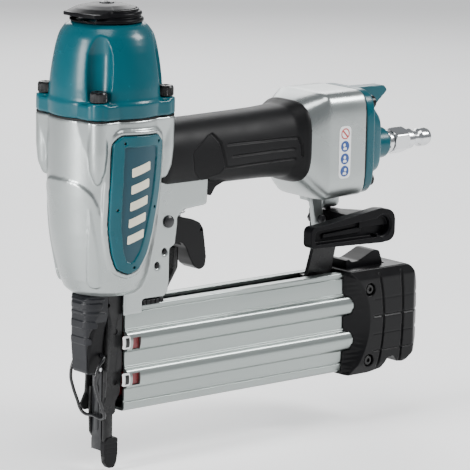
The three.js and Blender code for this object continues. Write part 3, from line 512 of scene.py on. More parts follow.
# The lighter teal on its edges is partly painted highlight and partly rubbed wear.
TEAL = surface(
    "teal_paint", (0.0, 0.058, 0.077), roughness=0.3, coat=0.16, mottle=0.06, patch=40, grain=900,
    height=0.004, ripple=0.012, wear_and_highlight_colour=(0.002, 0.13, 0.16), wear_and_highlight_amount=0.4, shine=0.2
)
DARK_TEAL = surface(
    "teal_recess", (0.0, 0.034, 0.052), roughness=0.42, coat=0.1, mottle=0.08, patch=60, grain=2200,
    height=0.02, shine=0.3
)
BLACK = surface(
    "black_plastic", (0.004, 0.004, 0.0045), roughness=0.34, spread=0.06, mottle=0.15, patch=60, grain=1800,
    height=0.02, wear_and_highlight_colour=(0.016, 0.016, 0.018), shine=0.14
)
SATIN = surface(
    "black_moulding", (0.0035, 0.0035, 0.0042), roughness=0.36, mottle=0.12, patch=60, grain=2200,
    height=0.012, wear_and_highlight_colour=(0.014, 0.014, 0.017), shine=0.07
)
RUBBER = surface(
    "grip_rubber", (0.0045, 0.0045, 0.005), roughness=0.52, mottle=0.18, patch=55, grain=2600, height=0.03,
    shine=0.15
)
PATCH_RUBBER = surface(
    "grip_patch", (0.004, 0.004, 0.0045), roughness=0.65, mottle=0.2, patch=55, grain=1300, height=0.09,
    shine=0.15
)
SEAL = surface(
    "seal_rubber", (0.003, 0.003, 0.0035), roughness=0.6, mottle=0.2, patch=60, grain=1800, height=0.03,
    shine=0.25
)
BLACK_STEEL = surface(
    "black_steel", (0.004, 0.004, 0.0045), roughness=0.27, metallic=0.1, spread=0.08, mottle=0.2, patch=90,
    grain=1600, height=0.012, wear_and_highlight_colour=(0.05, 0.05, 0.05), wear_and_highlight_amount=0.35, shine=0.2
)
DARK_STEEL = surface(
    "dark_steel", (0.012, 0.0125, 0.014), roughness=0.32, metallic=0.2, spread=0.06, mottle=0.15, patch=90,
    grain=1600, height=0.012
)
STEEL = surface(
    "bright_steel", (0.55, 0.56, 0.57), roughness=0.16, metallic=1.0, spread=0.06, mottle=0.05, patch=80,
    grain=1800, height=0.006
)
BRASS = surface(
    "turned_brass", (0.6, 0.42, 0.17), roughness=0.28, metallic=1.0, spread=0.06, mottle=0.08, patch=80,
    height=0.008
)
INNER = surface(
    "machined_aluminium", (0.55, 0.56, 0.57), roughness=0.32, metallic=1.0, spread=0.06, mottle=0.05,
    patch=70, grain=1200
)
RED = surface(
    "red_indicator", (0.16, 0.006, 0.009), roughness=0.4, coat=0.2, spread=0.06, patch=80, height=0.02
)
# White print for the tank sticker; on the magazine's ridges the same white is partly painted highlight.
WHITE_PRINT_AND_HIGHLIGHT = surface(
    "white_label_and_highlight", (0.7, 0.71, 0.71), roughness=0.38, coat=0.2, mottle=0.03, patch=80, height=0.006
)
CREAM_INK = surface("cream_print", (0.62, 0.59, 0.47), roughness=0.42, mottle=0.06, patch=80, height=0.012)
BLUE_INK = surface(
    "blue_print", (0.006, 0.045, 0.2), roughness=0.4, coat=0.1, mottle=0.08, patch=80, height=0.006
)
RED_INK = surface(
    "red_print", (0.4, 0.012, 0.008), roughness=0.4, coat=0.1, mottle=0.08, patch=80, height=0.006
)
BLACK_INK = surface(
    "black_print", (0.004, 0.004, 0.004), roughness=0.4, coat=0.1, patch=80, height=0.006, shine=0.3
)
# The lever's own black moulding made lighter: painted light on the front shield.
LEVER_PAINTED_LIGHT = surface(
    "lever_moulding_painted_light", (0.009, 0.0095, 0.0115), roughness=0.34, patch=60, grain=2200, height=0.016,
    wear_and_highlight_colour=(0.03, 0.03, 0.034), wear_and_highlight_amount=0.4, shine=0.25
)
SATIN_STEEL = surface(
    "black_wire", (0.006, 0.006, 0.007), roughness=0.2, metallic=0.2, coat=0.1, mottle=0.15, patch=90,
    grain=1600, height=0.008
)
FLOOR = surface(
    "pale_floor", (0.92, 0.92, 0.92), roughness=0.6, spread=0.03, mottle=0.01, patch=6, grain=60,
    height=0.02
)
floor_skin = FLOOR.node_tree.nodes["Principled BSDF"]
floor_skin.inputs["Emission Color"].default_value = (1, 1, 1, 1)
floor_skin.inputs["Emission Strength"].default_value = FLOOR_GLOW

FINISHES = {
    "cast_body": SILVER, "extrusion": EXTRUSION, "teal_paint": TEAL, "black_plastic": BLACK,
    "grip_rubber": RUBBER, "black_steel": BLACK_STEEL, "bright_steel": STEEL, "seal": SEAL,
    "red_plastic": RED, "brass": BRASS, "inner_metal": INNER
}
for row in frame["record"]["subparts"]:
    carried = frame["nodes"][row["node"]]
    carried.data.materials.clear()
    carried.data.materials.append(FINISHES[row["material_slot"]])


# ---------------------------------------------------------------- drawing helpers
def grown(corners, amount):
    """A corner list with its sides moved outwards by an amount; corners run either way round."""
    area = sum(
        corners[i - 1][0] * corners[i][1] - corners[i][0] * corners[i - 1][1] for i in range(len(corners))
    )
    side = 1 if area > 0 else -1
    made = []
    for i, corner in enumerate(corners):
        here = Vector(corner[:2])
        before = (here - Vector(corners[i - 1][:2])).normalized()
        after = (Vector(corners[(i + 1) % len(corners)][:2]) - here).normalized()
        out = (Vector((before.y, -before.x)) + Vector((after.y, -after.x))).normalized() * side
        reach = amount / max(0.35, out.dot(Vector((before.y, -before.x)) * side))
        radius = corner[2] if len(corner) > 2 else 0
        made.append((*(here + out * reach), max(0.3, radius + amount) if radius else 0))
    return made


def mirrored(corners):
    return [(-c[0], *c[1:]) for c in reversed(corners)]


def side_span(side, inner, outer):
    return (inner, outer) if side > 0 else (-outer, -inner)


SIDES = {"left": -1, "right": 1}

# ---------------------------------------------------------------- barrel, handle and tank
BARREL_FOOT = 92
CAP_JOINT = BOX["cap_gasket"].z0 - 0.1
CHEEK_INNER = 7
CHEEK_OUTER = -BOX["magazine_adapter"].y0
TRIGGER_PIVOT = (BOX["trigger_pin"].x, BOX["trigger_pin"].z)
VALVE_X = BOX["trigger_valve_body"].x
BOLT_PLACES = [(BOX[f"cap_bolt_{i}"].x, BOX[f"cap_bolt_{i}"].y) for i in range(1, 5)]
GUIDE_PINS = [(BOX[f"guide_pin_{n}"].x, BOX[f"guide_pin_{n}"].z) for n in ("upper", "lower")]
REAR_SCREWS = [(BOX[f"rear_screw_{i}"].y, BOX[f"rear_screw_{i}"].z) for i in range(1, 5)]
TANK_REAR = BOX["rear_gasket"].x0 - 0.1
PLUG_Z = BOX["air_plug"].z

BARREL = [
    (16.5, BARREL_FOOT, 1), (19.8, 94.8, 3), (22.3, 100.5, 5), (23.6, 107, 30), (26.2, 121, 60),
    (28.5, 147.5, 90), (29, CAP_JOINT - 0.6, 0.3), (28.7, CAP_JOINT, 0.1)
]
TANK = [
    (90, 144, 172, 13.5, 2.6), (112, 143, 173.5, 15, 2.8), (120, 135.6, 178.6, 18, 3.4),
    (130.6, 127.2, 182.5, 21.9, 5.6), (132.4, 126.2, 183, 22.2, 6.6), (TANK_REAR, 126.6, 183, 22.2, 6.6)
]


def barrel_skin(lift=0.0, fade=None):
    """The barrel's solid with its wall moved out; fade is the two heights between which the lift grows."""
    profile = []
    for r, z, corner in BARREL:
        share = 1.0 if fade is None else min(1.0, max(0.0, (z - fade[0]) / (fade[1] - fade[0])))
        profile.append((r + lift * share, z, corner))
    return lathe("z", [(0, BARREL_FOOT), *profile, (0, CAP_JOINT)], sides=128)


def bib():
    """The raised panel on the barrel's front, with an arched upper edge."""
    half = [
        (-6, 151.4, 20), (-13, 150, 9), (-18.2, 145.6, 8), (-20.1, 139.5), (-21, 130.4, 40),
        (-22.1, 115, 40), (-19, 100)
    ]
    return common(
        prism("x", [*reversed(half), *[(-a, b, *r) for a, b, *r in half]], -40, -4),
        barrel_skin(0.75, (96, 122))
    )


def flute(side):
    """The narrow raised flash at the foot of the barrel's front corner."""
    edge = [
        (17.2, 138), (18, 130, 20), (18.7, 121, 30), (18.5, 111, 20), (16.9, 98.4, 3), (14, 96.6, 4),
        (11.8, 98.4, 2), (14.4, 114.7, 30), (16.3, 127.6, 30)
    ]
    outline = [(side * a, b, *r) for a, b, *r in edge]
    return common(prism("x", outline, -40, -4), barrel_skin(1.2))


PLATE = [
    (-15.5, 171, 2.5), (-11.5, 174.8, 3), (10.5, 174.2, 3), (15, 170.5, 2.5), (14.8, 161, 40),
    (12, 139, 60), (9.4, 125.4, 40), (6.7, 114.1, 12), (2.4, 106.8, 5), (-3.4, 104.6, 5), (-9.8, 107.4, 6),
    (-13, 115.2, 14), (-15.4, 127, 40), (-16, 144.3, 60)
]


def plate_lip(side):
    """The low cast lip that runs round a side plate."""
    lo, hi = side_span(side, 8, 40)
    ring = cut(prism("y", grown(PLATE, 2.6), lo, hi), prism("y", grown(PLATE, 0.45), lo - 1, hi + 1))
    return common(ring, barrel_skin(1.3))


def cheek(side):
    shape = [
        (8, 150), (58, 146), (57.5, 131.6, 1.5), (42, 130.4, 3), (38.2, 127, 2), (38, 122, 10),
        (36.8, 113, 1.2), (33.4, 111.5, 1.2), (33.2, 94.5, 10), (32.4, 89, 2), (29.7, 87, 2), (8, 87.3)
    ]
    return prism("y", shape, *side_span(side, CHEEK_INNER, CHEEK_OUTER))


def skirt(side):
    return block(4.4, 16.2, *side_span(side, BOX["magazine_cover"].half - 2.7, CHEEK_OUTER), 80.2, 100, 0)


def seam(side):
    """The parting line where the nose's skirt meets the trigger leg."""
    return block(16.1, 16.9, *side_span(side, CHEEK_OUTER - 0.7, CHEEK_OUTER + 1), 79, 97)


def boss_web(place):
    """The wall that carries a cap bolt's boss out of the barrel, fading downwards."""
    rings = []
    for k in range(9):
        fade = k / 8
        reach = 26 + 7.2 * fade**0.6
        width = 3 + 1.6 * fade
        shoulder = 23.2 + 1 * fade
        outline = [
            (10, -17), (shoulder, -13.2), (reach - 2, -width - 2), (reach, -width), (reach, width),
            (reach - 2, width + 2), (shoulder, 13.2), (10, 17)
        ]
        rings.append([(x, y, 154 + (CAP_JOINT - 154) * fade) for x, y in outline])
    return turned(stacked(rings), turn=math.degrees(math.atan2(place[1], place[0])))


def housing():
    bosses = [
        lathe("z", [
            (0, 150), (1.6, 151.5, 2), (3.9, 157, 8), (4.8, 166, 14), (5, CAP_JOINT), (0, CAP_JOINT)
        ], p, 48)
        for p in BOLT_PLACES
    ]
    bosses += [boss_web(place) for place in BOLT_PLACES]
    handle = loft([(14, 144, 172, 13.5, 2.6), (90, 144, 172, 13.5, 2.6)])
    bridge = prism("y", [
        (24, 131), (42, 130.4), (57.5, 131.6, 1.5), (57.5, 140, 5), (53, 147), (24, 147)
    ], -CHEEK_OUTER, CHEEK_OUTER)
    hook_arm = prism("y", [
        (133, 131), (143.5, 131), (142.6, 120.6, 8), (144.7, 110.7, 4), (144.7, 106, 1.5),
        (138.6, 106, 1.5), (137.6, 111, 4), (135.7, 122, 8)
    ], -5.5, -2)
    seat = block(145, 156.5, -3.4, 3.4, 121, 130)
    barrel_of_seat = rod("x", 3.4, 145, 156.5, (0, 121.8), 32, 0.6)
    root = block(134, 146, -3.4, 3.4, 124, 130)
    outside = join(
        barrel_skin(), bib(), *(flute(s) for s in SIDES.values()), *(plate_lip(s) for s in SIDES.values()),
        *bosses, handle, loft(TANK), bridge, hook_arm, seat, barrel_of_seat, root,
        *(cheek(s) for s in SIDES.values()), *(skirt(s) for s in SIDES.values())
    )
    bore = lathe("z", [
        (0, 107), (19, 107), (19, 125), (22.6, 128), (25, 152), (25, 190), (0, 190)
    ], sides=64)
    air = loft([
        (20, 149, 167, 9.5, 2.4), (114, 148, 168.5, 10.5, 2.6), (134, 132.5, 177, 16.4, 3.2),
        (160, 132.5, 177, 16.4, 3.4)
    ], 4, 48)
    shaped = cut(
        outside, bore, rod("z", 1.8, 91, 108), air, rod("z", 6.4, 125, 152, (VALVE_X, 0)),
        block(-6, 20, -8.2, -3.8, 85, 101.6), rod("z", 2.8, 90, 104.6, (11, -6)),
        block(12, 45, -CHEEK_INNER, CHEEK_INNER, 80, 101.6), rod("y", 2.1, -20, 20, TRIGGER_PIVOT),
        *(rod("y", 1.6, -20, 20, place, 24) for place in GUIDE_PINS),
        *(rod("z", SCREW_ROOM, 160, 190, place, 24) for place in BOLT_PLACES),
        *(rod("x", SCREW_ROOM, 140, 160, place, 24) for place in REAR_SCREWS),
        rod("z", 1.7, 118, 127, (BOX["hook_screw"].x, 0), 24),
        rod("y", 1.6, -8, 0, (BOX["bracket_bolt"].x, BOX["bracket_bolt"].z), 24),
        *(seam(s) for s in SIDES.values())
    )
    piece(cast(shaped, 0.55, 5), "housing_shell", SILVER, "frame", ["housing"], ALL_SMOOTH)


def stripes(name, lo, hi):
    """Plain slanted bars on the side plate's recessed field."""
    bars = []
    heights = (120, 128.5, 137, 145.5, 154)
    for i, z in enumerate(heights):
        left, right = -6.4 + 0.1 * i, 3 + 0.5 * i
        bars.append(
            prism("y", [
                (left, z, 0.6), (right, z + 3.2, 0.6), (right, z + 7.6, 0.6), (left, z + 4.4, 0.6)
            ], lo, hi)
        )
    sheet = cut(barrel_skin(1.55), barrel_skin(1.2))
    for i, bar in enumerate(bars):
        mark = common(bar, sheet if i == len(bars) - 1 else duplicate(sheet))
        piece(mark, f"side_plate_{name}_bar_{i + 1}", CREAM_INK, "frame", (), 40)


def side_plates():
    for name, side in SIDES.items():
        lo, hi = side_span(side, 8, 40)
        shell = cut(barrel_skin(2.0), barrel_skin(0.35))
        plate = common(prism("y", PLATE, lo, hi), shell)
        well = common(prism("y", grown(PLATE, -5.2), lo, hi), cut(barrel_skin(4), barrel_skin(1.25)))
        dots = [(-10, 171.2), (11.2, 171), (-12.4, 138), (9.6, 138), (-0.6, 107.9)]
        holes = [rod("y", 0.75, lo, hi, place, 20) for place in dots]
        cheek_room = block(4, 60, *side_span(side, 0, CHEEK_OUTER + GAP), 80, 151)
        plate = cut(plate, well, *holes, cheek_room)
        piece(
            cast(plate, 0.3, 4),
            f"side_plate_{name}_skin", TEAL, "frame", [f"side_plate_{name}"], ALL_SMOOTH
        )
        floor = common(prism("y", grown(PLATE, -5.5), lo, hi), cut(barrel_skin(1.34), barrel_skin(0.9)))
        piece(floor, f"side_plate_{name}_field", DARK_TEAL, "frame", (), 40)
        stripes(name, lo, hi)


# ---------------------------------------------------------------- cap, bolts and deflector
CAP_TOP = BOX["cylinder_cap"].z1
CAP_FLANGE_TOP = 191.4
SCALLOP_LEAN = math.radians(8)
MOUTH_TURN = 4


def cylinder_cap():
    low = BOX["cylinder_cap"].z0
    profile = [
        (0, low), (29.1, low, 0.3), (29.4, low + 7.4, 1.1), (28.5, low + 8.6, 1.2), (28.2, 199, 40),
        (27.1, 208, 40), (25.5, 216.5, 24), (23.4, 222.6, 9), (20.4, 226.6, 5), (17.5, CAP_TOP, 1),
        (0, CAP_TOP)
    ]
    dome = lathe("z", profile, sides=160)
    lugs = [rod("z", 5, low, CAP_FLANGE_TOP, place, 48, 0.8) for place in BOLT_PLACES]
    for x, y in BOLT_PLACES:
        turn = math.atan2(y, x)
        web = prism("z", [
            (10, -17), (24.4, -13.2, 8), (33.4, -4.6, 4), (33.4, 4.6, 4), (24.4, 13.2, 8), (10, 17)
        ], low, 190.2)
        lugs.append(turned(web, turn=math.degrees(turn)))
    scallops = []
    for x, y in BOLT_PLACES:
        scoop = lathe("x", [
            (0, -0.2), (6.9, -0.2), (7.4, 14, 30), (7.2, 24, 12), (5, 33, 8), (0, 38)
        ], (0, 0), 72)
        scoop.data.transform(Matrix.Rotation(-math.pi / 2 - SCALLOP_LEAN, 4, "Y"))
        scoop.data.transform(Matrix.Translation((math.hypot(x, y) + 2.4, 0, CAP_FLANGE_TOP)))
        scoop.data.transform(Matrix.Rotation(math.atan2(y, x), 4, "Z"))
        scallops.append(common(scoop, block(-60, 60, -60, 60, CAP_FLANGE_TOP, 240)))
    pocket = lathe("z", [(0, 180), (22.3, 180), (22.3, 201), (9.5, 201), (9.5, 212), (0, 212)], sides=48)
    ports = [
        rod("z", 3.2, 200, 230, (9 * math.cos(t), 9 * math.sin(t)), 24)
        for t in (math.pi / 4, 3 * math.pi / 4, 5 * math.pi / 4, 7 * math.pi / 4)
    ]
    shanks = [rod("z", SCREW_ROOM, 180, 194, place, 24) for place in BOLT_PLACES]
    made = cut(
        join(dome, *lugs), *scallops, pocket, *ports, *shanks, rod("z", SCREW_ROOM, 210, 230, (0, 0), 24)
    )
    piece(
        cast(made, 0.42, 13), "cylinder_cap_shell", TEAL, "frame", ["cylinder_cap"], ALL_SMOOTH
    )


def gasket():
    box = BOX["cap_gasket"]
    outline = join(
        rod("z", 28.9, box.z0, box.z1, (0, 0), 128),
        *(rod("z", 4.9, box.z0, box.z1, p, 48) for p in BOLT_PLACES)
    )
    opening = rod("z", 25.2, box.z0 - 1, box.z1 + 1, (0, 0), 96)
    shanks = [rod("z", SCREW_ROOM, box.z0 - 1, box.z1 + 1, place, 24) for place in BOLT_PLACES]
    piece(cut(outline, opening, *shanks), "cap_gasket_sheet", SEAL, "frame", ["cap_gasket"])


def knurled(radius, depth, teeth, low, high, place):
    ring = []
    for k in range(teeth):
        turn = 2 * math.pi * k / teeth
        step = math.pi / teeth
        ring.append((place[0] + radius * math.cos(turn), place[1] + radius * math.sin(turn)))
        inner = radius - depth
        ring.append((place[0] + inner * math.cos(turn + step), place[1] + inner * math.sin(turn + step)))
    return prism("z", ring, low, high)


def cap_bolts():
    for i, place in enumerate(BOLT_PLACES):
        box = BOX[f"cap_bolt_{i + 1}"]
        head = lathe("z", [
            (0, 191.7), (4, 191.7, 0.3), (4.2, box.z1 - 1, 0.4), (3.6, box.z1, 0.5), (0, box.z1)
        ], place, 64)
        ridges = knurled(4.25, 0.16, 40, 192.2, box.z1 - 1.2, place)
        socket = rod("z", 2.3, box.z1 - 3, box.z1 + 1, place, 6)
        shank = rod("z", 1.8, box.z0, 192, place, 24)
        made = cut(join(head, ridges, shank), socket)
        piece(
            edged(made, 0.12, 2, 40),
            f"cap_bolt_{i + 1}_screw", BLACK_STEEL, "frame", [f"cap_bolt_{i + 1}"], 30
        )


def deflector():
    """A three-tier exhaust deflector with an overhanging brim above its mouth."""
    floor = BOX["exhaust_deflector"].z0
    top = BOX["exhaust_deflector"].z1 + 0.5
    tiers = lathe("z", [
        (3, floor), (18.4, floor, 0.5), (18.5, floor + 1.7, 1), (17, floor + 2.5, 0.7),
        (16.7, floor + 3, 0.6), (17.7, floor + 3.5, 0.7), (17.4, floor + 4.9, 1), (15.8, floor + 5.6, 0.7),
        (15.6, floor + 6, 0.6), (16.5, floor + 6.4, 0.7), (15.2, top - 2.1, 2), (9.5, top - 0.5, 6),
        (4.4, top, 2), (3, top)
    ], sides=128)
    brim = turned(
        prism("z", [
            (-19.8, -5, 4), (-18.4, -12.5, 3), (-8, -14, 3), (0, 0), (-8, 14, 3), (-18.4, 12.5, 3),
            (-19.8, 5, 4)
        ], floor + 2.9, top - 0.7),
        turn=MOUTH_TURN
    )
    crown = lathe("z", [
        (0, floor), (30, floor), (30, floor + 4), (19.6, floor + 4.9, 1), (15.4, top - 2, 4),
        (9.5, top - 0.4, 6), (4.4, top + 0.1), (0, top + 0.1)
    ], sides=96)
    brim = common(brim, crown)
    chamber = lathe("z", [
        (5.2, floor - 1), (15.2, floor - 1), (15.2, top - 2.2), (5.2, top - 2.2)
    ], sides=64)
    mouth = turned(block(-26, -6, -9.5, 9.5, floor + 0.8, floor + 3), turn=MOUTH_TURN)
    bolt = rod("z", 2.2, floor - 5, top + 5, (0, 0), 32)
    seat = rod("z", 3.7, top - 1, top + 5, (0, 0), 48)
    made = cut(join(tiers, brim), chamber, mouth, bolt, seat)
    piece(
        cast(made, 0.26, 4),
        "exhaust_deflector_shell", SATIN, "deflector", ["exhaust_deflector"], ALL_SMOOTH
    )
    box = BOX["deflector_screw"]
    rim = top + 0.2
    head = lathe("z", [
        (0, rim - 1), (3.2, rim - 1, 0.2), (3.2, rim + 0.1, 0.3), (2.2, rim + 0.5, 0.8), (0, rim + 0.6)
    ], sides=64)
    shank = rod("z", 1.8, box.z0, top, (0, 0), 24)
    screw = cut(join(head, shank), rod("z", 1.6, top - 0.2, top + 5, (0, 0), 6))
    piece(
        edged(screw, 0.1, 2, 40),
        "deflector_screw_head", DARK_STEEL, "frame", ["deflector_screw"], 30
    )


# ---------------------------------------------------------------- grip, rear cap and air plug
GRIP = [
    (25.5, 142, 174.4, 16.4, 2.4), (30, 140.6, 175.2, 17.2, 2.4), (60, 140.2, 175.6, 17, 2.4),
    (95, 139.8, 176.2, 17, 2.4), (112, 139, 177, 18, 2.6), (117, 136.9, 178.4, 19.5, 3),
    (119.8, 135.9, 179.3, 20.3, 3.2), (121, 136.3, 178.9, 20, 3.2)
]


def swollen(sections, amount):
    return [
        (x, low - amount, high + amount, half + amount, power) for x, low, high, half, power in sections
    ]


def groove(side, route, width=1.3):
    """Straight strips along a route of [x, z] points, through the skin of the grip."""
    strips = []
    for (x0, z0), (x1, z1) in zip(route, route[1:]):
        span = math.hypot(x1 - x0, z1 - z0)
        across = (-(z1 - z0) / span * width / 2, (x1 - x0) / span * width / 2)
        corners = [
            (x0 + across[0], z0 + across[1]), (x1 + across[0], z1 + across[1]),
            (x1 - across[0], z1 - across[1]), (x0 - across[0], z0 - across[1])
        ]
        strips.append(prism("y", corners, *side_span(side, 5, 40)))
        strips.append(rod("y", width / 2, *side_span(side, 5, 40), (x1, z1), 16))
    skin = cut(loft(swollen(GRIP, 2), 1.2, 128), loft(swollen(GRIP, -0.8), 1.2, 128))
    return common(join(*strips), skin)


PATCH = [
    (55.7, 168.6, 2), (60.6, 163.7, 1), (65.2, 150.4, 1), (63, 147.4, 2), (51, 144.4, 3), (45, 150, 4),
    (42.8, 160.3, 4)
]


def grip():
    horn = prism("y", [(54, 146), (58, 139.4, 4), (61.2, 134.6, 1), (64.6, 139.6, 4), (71, 142)], -10, 10)
    core = loft([
        (14, 143.7, 172.3, 13.8, 2.6), (90, 143.7, 172.3, 13.8, 2.6), (112, 142.7, 173.8, 15.3, 2.8),
        (121, 134.5, 179.5, 18.8, 3.4), (129, 127.7, 182.5, 21.9, 4.4), (136, 125.7, 183.3, 22.5, 5)
    ])
    rooms = [
        lathe("z", [(0, 120), (28.7, 120), (29.4, 150), (29.5, 190), (0, 190)], sides=96),
        prism("y", [
            (20, 120), (57.8, 120), (57.8, 140.2, 5), (53.3, 147.3), (20, 147.3)
        ], -CHEEK_OUTER - GAP, CHEEK_OUTER + GAP),
        block(0, 58.3, -CHEEK_OUTER - GAP, CHEEK_OUTER + GAP, 120, 150.3)
    ]
    rooms += [rod("z", 5.4, 120, 190, place) for place in BOLT_PLACES]
    body = cut(join(loft(GRIP, 1.2, 128), horn), core, *rooms)
    cutters = []
    for side in SIDES.values():
        cutters += [
            groove(side, [(65.8, 162.2), (113, 161.8), (115, 157.5), (115.6, 152)]),
            groove(side, [(69.3, 155.8), (111, 156.1)]), groove(side, [(66.2, 150), (112, 150.7)]),
            groove(side, [(56.8, 168.4), (61.4, 163.7), (66.2, 150)], 1.5)
        ]
        lo, hi = side_span(side, 5, 40)
        cutters.append(
            common(prism("y", PATCH, lo, hi), cut(loft(swollen(GRIP, 3)), loft(swollen(GRIP, -0.45))))
        )
    body = cut(body, *cutters)
    piece(
        cast(body, 0.36, 3), "grip_sleeve_skin", RUBBER, "frame", ["grip_sleeve"], ALL_SMOOTH
    )
    for name, side in SIDES.items():
        lo, hi = side_span(side, 5, 40)
        shell = cut(loft(swollen(GRIP, -0.18)), loft(swollen(GRIP, -0.8)))
        pad = common(prism("y", grown(PATCH, -0.35), lo, hi), shell)
        piece(pad, f"grip_patch_{name}", PATCH_RUBBER, "frame", (), 40)


def tank_labels():
    """A plain sticker with one ring and three discs on each side of the tank."""
    for name, side in SIDES.items():
        lo, hi = side_span(side, 15, 40)

        def stuck(corners_or_disc, low, high):
            return common(corners_or_disc, cut(loft(swollen(TANK, high)), loft(swollen(TANK, low))))

        sticker = prism("y", [
            (137.9, 138, 2.6), (146.1, 138, 2.6), (146.1, 165.6, 2.6), (137.9, 165.6, 2.6)
        ], lo, hi)
        piece(stuck(sticker, -0.3, 0.16), f"tank_label_{name}", WHITE_PRINT_AND_HIGHLIGHT, "frame", (), 40)
        for i, z in enumerate((161.6, 155, 148.4, 141.9)):
            disc = rod("y", 2.9, lo, hi, (142, z), 48)
            if i == 0:
                bar = turned(
                    block(139.4, 144.6, lo, hi, z - 0.4, z + 0.4), turn=45, axis="Y", about=(142, 0, z)
                )
                disc = join(cut(disc, rod("y", 2.3, lo - 1, hi + 1, (142, z), 48)), bar)
            else:
                face = [rod("y", 0.9, lo - 1, hi + 1, (142 + 0.5 * (i - 2), z + 0.7), 24)]
                face.append(
                    prism("y", [
                        (140.4, z - 1.9, 0.6), (143.6, z - 1.9, 0.6), (142.9, z - 0.5, 0.4),
                        (141.1, z - 0.5, 0.4)
                    ], lo - 1, hi + 1)
                )
                disc = cut(disc, *face)
            ink = RED_INK if i == 0 else BLUE_INK
            piece(
                stuck(disc, -0.1, 0.26), f"tank_label_{name}_mark_{i + 1}", ink, "frame", (),
                40
            )


def rear_cap():
    x = BOX["rear_cap"].x0
    shell = loft([
        (x, 126.8, 182.8, 22, 5), (x + 5, 126.9, 182.7, 21.9, 5), (x + 6.4, 128.2, 181.4, 20.8, 4.6),
        (x + 7, 129.6, 180, 19.6, 4.4)
    ], 0.5, 128)
    plateau = loft([
        (x + 4, 134, 176, 13.5, 4.5), (x + 12, 134.6, 175, 13.2, 4.5), (x + 19.4, 136, 168.6, 12, 4),
        (x + 20.6, 137.4, 167.4, 10.6, 4)
    ], 0.8, 96)
    boss = lathe("x", [
        (0, x + 15), (9.4, x + 15), (9.2, x + 21, 1), (8.5, x + 23, 1), (8.4, BOX["rear_cap"].x1, 0.8),
        (0, BOX["rear_cap"].x1)
    ], (0, PLUG_Z), 96)
    ear = prism("y", [
        (162, 172), (165, 181.8, 2), (186, 181.4, 1.5), (188.6, 178.6, 1.2), (182, 173, 3), (175, 166),
        (170, 160)
    ], -4, 4)
    hollow = loft([
        (x - 1, 133, 176.6, 16, 3.4), (x + 4, 133, 176.6, 16, 3.4), (x + 9, 139, 168, 10, 2.6)
    ], 1.5, 48)
    made = cut(
        join(shell, plateau, boss, ear), hollow, rod("x", 5.6, 160, 190, (0, PLUG_Z), 48),
        *(rod("x", 4.2, x + 4.6, x + 24, place, 40) for place in REAR_SCREWS),
        *(rod("x", SCREW_ROOM, x - 1, x + 20, place, 24) for place in REAR_SCREWS)
    )
    piece(cast(made, 0.4, 4), "rear_cap_shell", TEAL, "frame", ["rear_cap"], ALL_SMOOTH)
    box = BOX["rear_gasket"]
    sheet = loft([(box.x0, 127, 182.6, 21.9, 5), (box.x1, 127, 182.6, 21.9, 5)], 0.3, 128)
    opening = loft([(box.x0 - 1, 132.6, 177, 16.2, 4), (box.x1 + 1, 132.6, 177, 16.2, 4)], 1, 64)
    holes = [rod("x", SCREW_ROOM, box.x0 - 1, box.x1 + 1, place, 24) for place in REAR_SCREWS]
    piece(cut(sheet, opening, *holes), "rear_gasket_sheet", SEAL, "frame", ["rear_gasket"])


def rear_screws():
    for i, place in enumerate(REAR_SCREWS):
        box = BOX[f"rear_screw_{i + 1}"]
        seat = box.x1 - 4.1
        head = lathe("x", [
            (0, seat), (3.5, seat, 0.3), (3.6, box.x1 - 0.6, 0.5), (2.8, box.x1, 0.5), (0, box.x1)
        ], place, 56)
        shank = rod("x", 1.7, box.x0, seat + 1, place, 24)
        made = cut(join(head, shank), rod("x", 1.9, box.x1 - 2.4, box.x1 + 1, place, 6))
        piece(
            edged(made, 0.12, 2, 40),
            f"rear_screw_{i + 1}_head", BLACK_STEEL, "frame", [f"rear_screw_{i + 1}"], 30
        )


def air_plug():
    box = BOX["air_plug"]
    body = lathe("x", [
        (1.9, box.x0), (5.3, box.x0), (5.3, 190.2, 0.4), (6.1, 191, 0.5), (6.1, 193, 0.4), (4.9, 194),
        (4.9, 204), (5.6, 205, 0.4), (5.6, 208.6, 0.6), (3.9, 210.4, 0.7), (3.7, 213.6, 0.7),
        (5, 215.4, 0.7), (5.05, 219.6, 0.6), (4.3, box.x1, 0.5), (1.9, box.x1, 0.3)
    ], (0, PLUG_Z), 96)
    nut = common(
        rod("x", 7.2, 194, 204.4, (0, PLUG_Z), 6, start=math.pi / 6),
        lathe("x", [
            (0, 193.9), (6.2, 193.9, 0.4), (7.1, 195.2, 0.6), (7.1, 203, 0.6), (6.2, 204.5, 0.4), (0, 204.5)
        ], (0, PLUG_Z), 64)
    )
    bore = rod("x", 1.9, 170, 230, (0, PLUG_Z), 48)
    piece(cut(join(body, nut), bore), "air_plug_turned", STEEL, "frame", ["air_plug"], 28)


# ---------------------------------------------------------------- trigger and the pins of its leg
def trigger():
    shape = [
        (27.4, 127.4, 3), (30, 129.6, 3), (36.6, 128.8, 6), (42, 126.2, 4), (53.2, 123.5, 14),
        (58, 121.2, 3), (60.2, 118, 4), (61.1, 113, 20), (62.6, 102.8, 12), (61.8, 98, 2.6),
        (58.2, 96.4, 2.6), (54.4, 99, 3), (51.6, 103.6, 12), (49.4, 108.8, 6), (46.6, 111.9, 3),
        (40, 112.4, 3), (36.8, 119, 4), (30, 120.6, 3), (27.4, 123, 3)
    ]
    room = prism("y", [
        (20, 105), (48.3, 105), (48.3, 112.4), (52.6, 105.6), (57, 102.6), (59.2, 112), (59.2, 120),
        (56, 135), (20, 135)
    ], -3.3, 3.3)
    made = cut(
        prism("y", shape, -6, 6, step=FINE_STEP), room, rod("y", 2.1, -10, 10, TRIGGER_PIVOT),
        rod("y", 0.85, -10, 10, (59, 117.4), 24)
    )
    piece(cast(made, 0.3, 5), "trigger_lever", BLACK, "trigger", ["trigger"], ALL_SMOOTH)


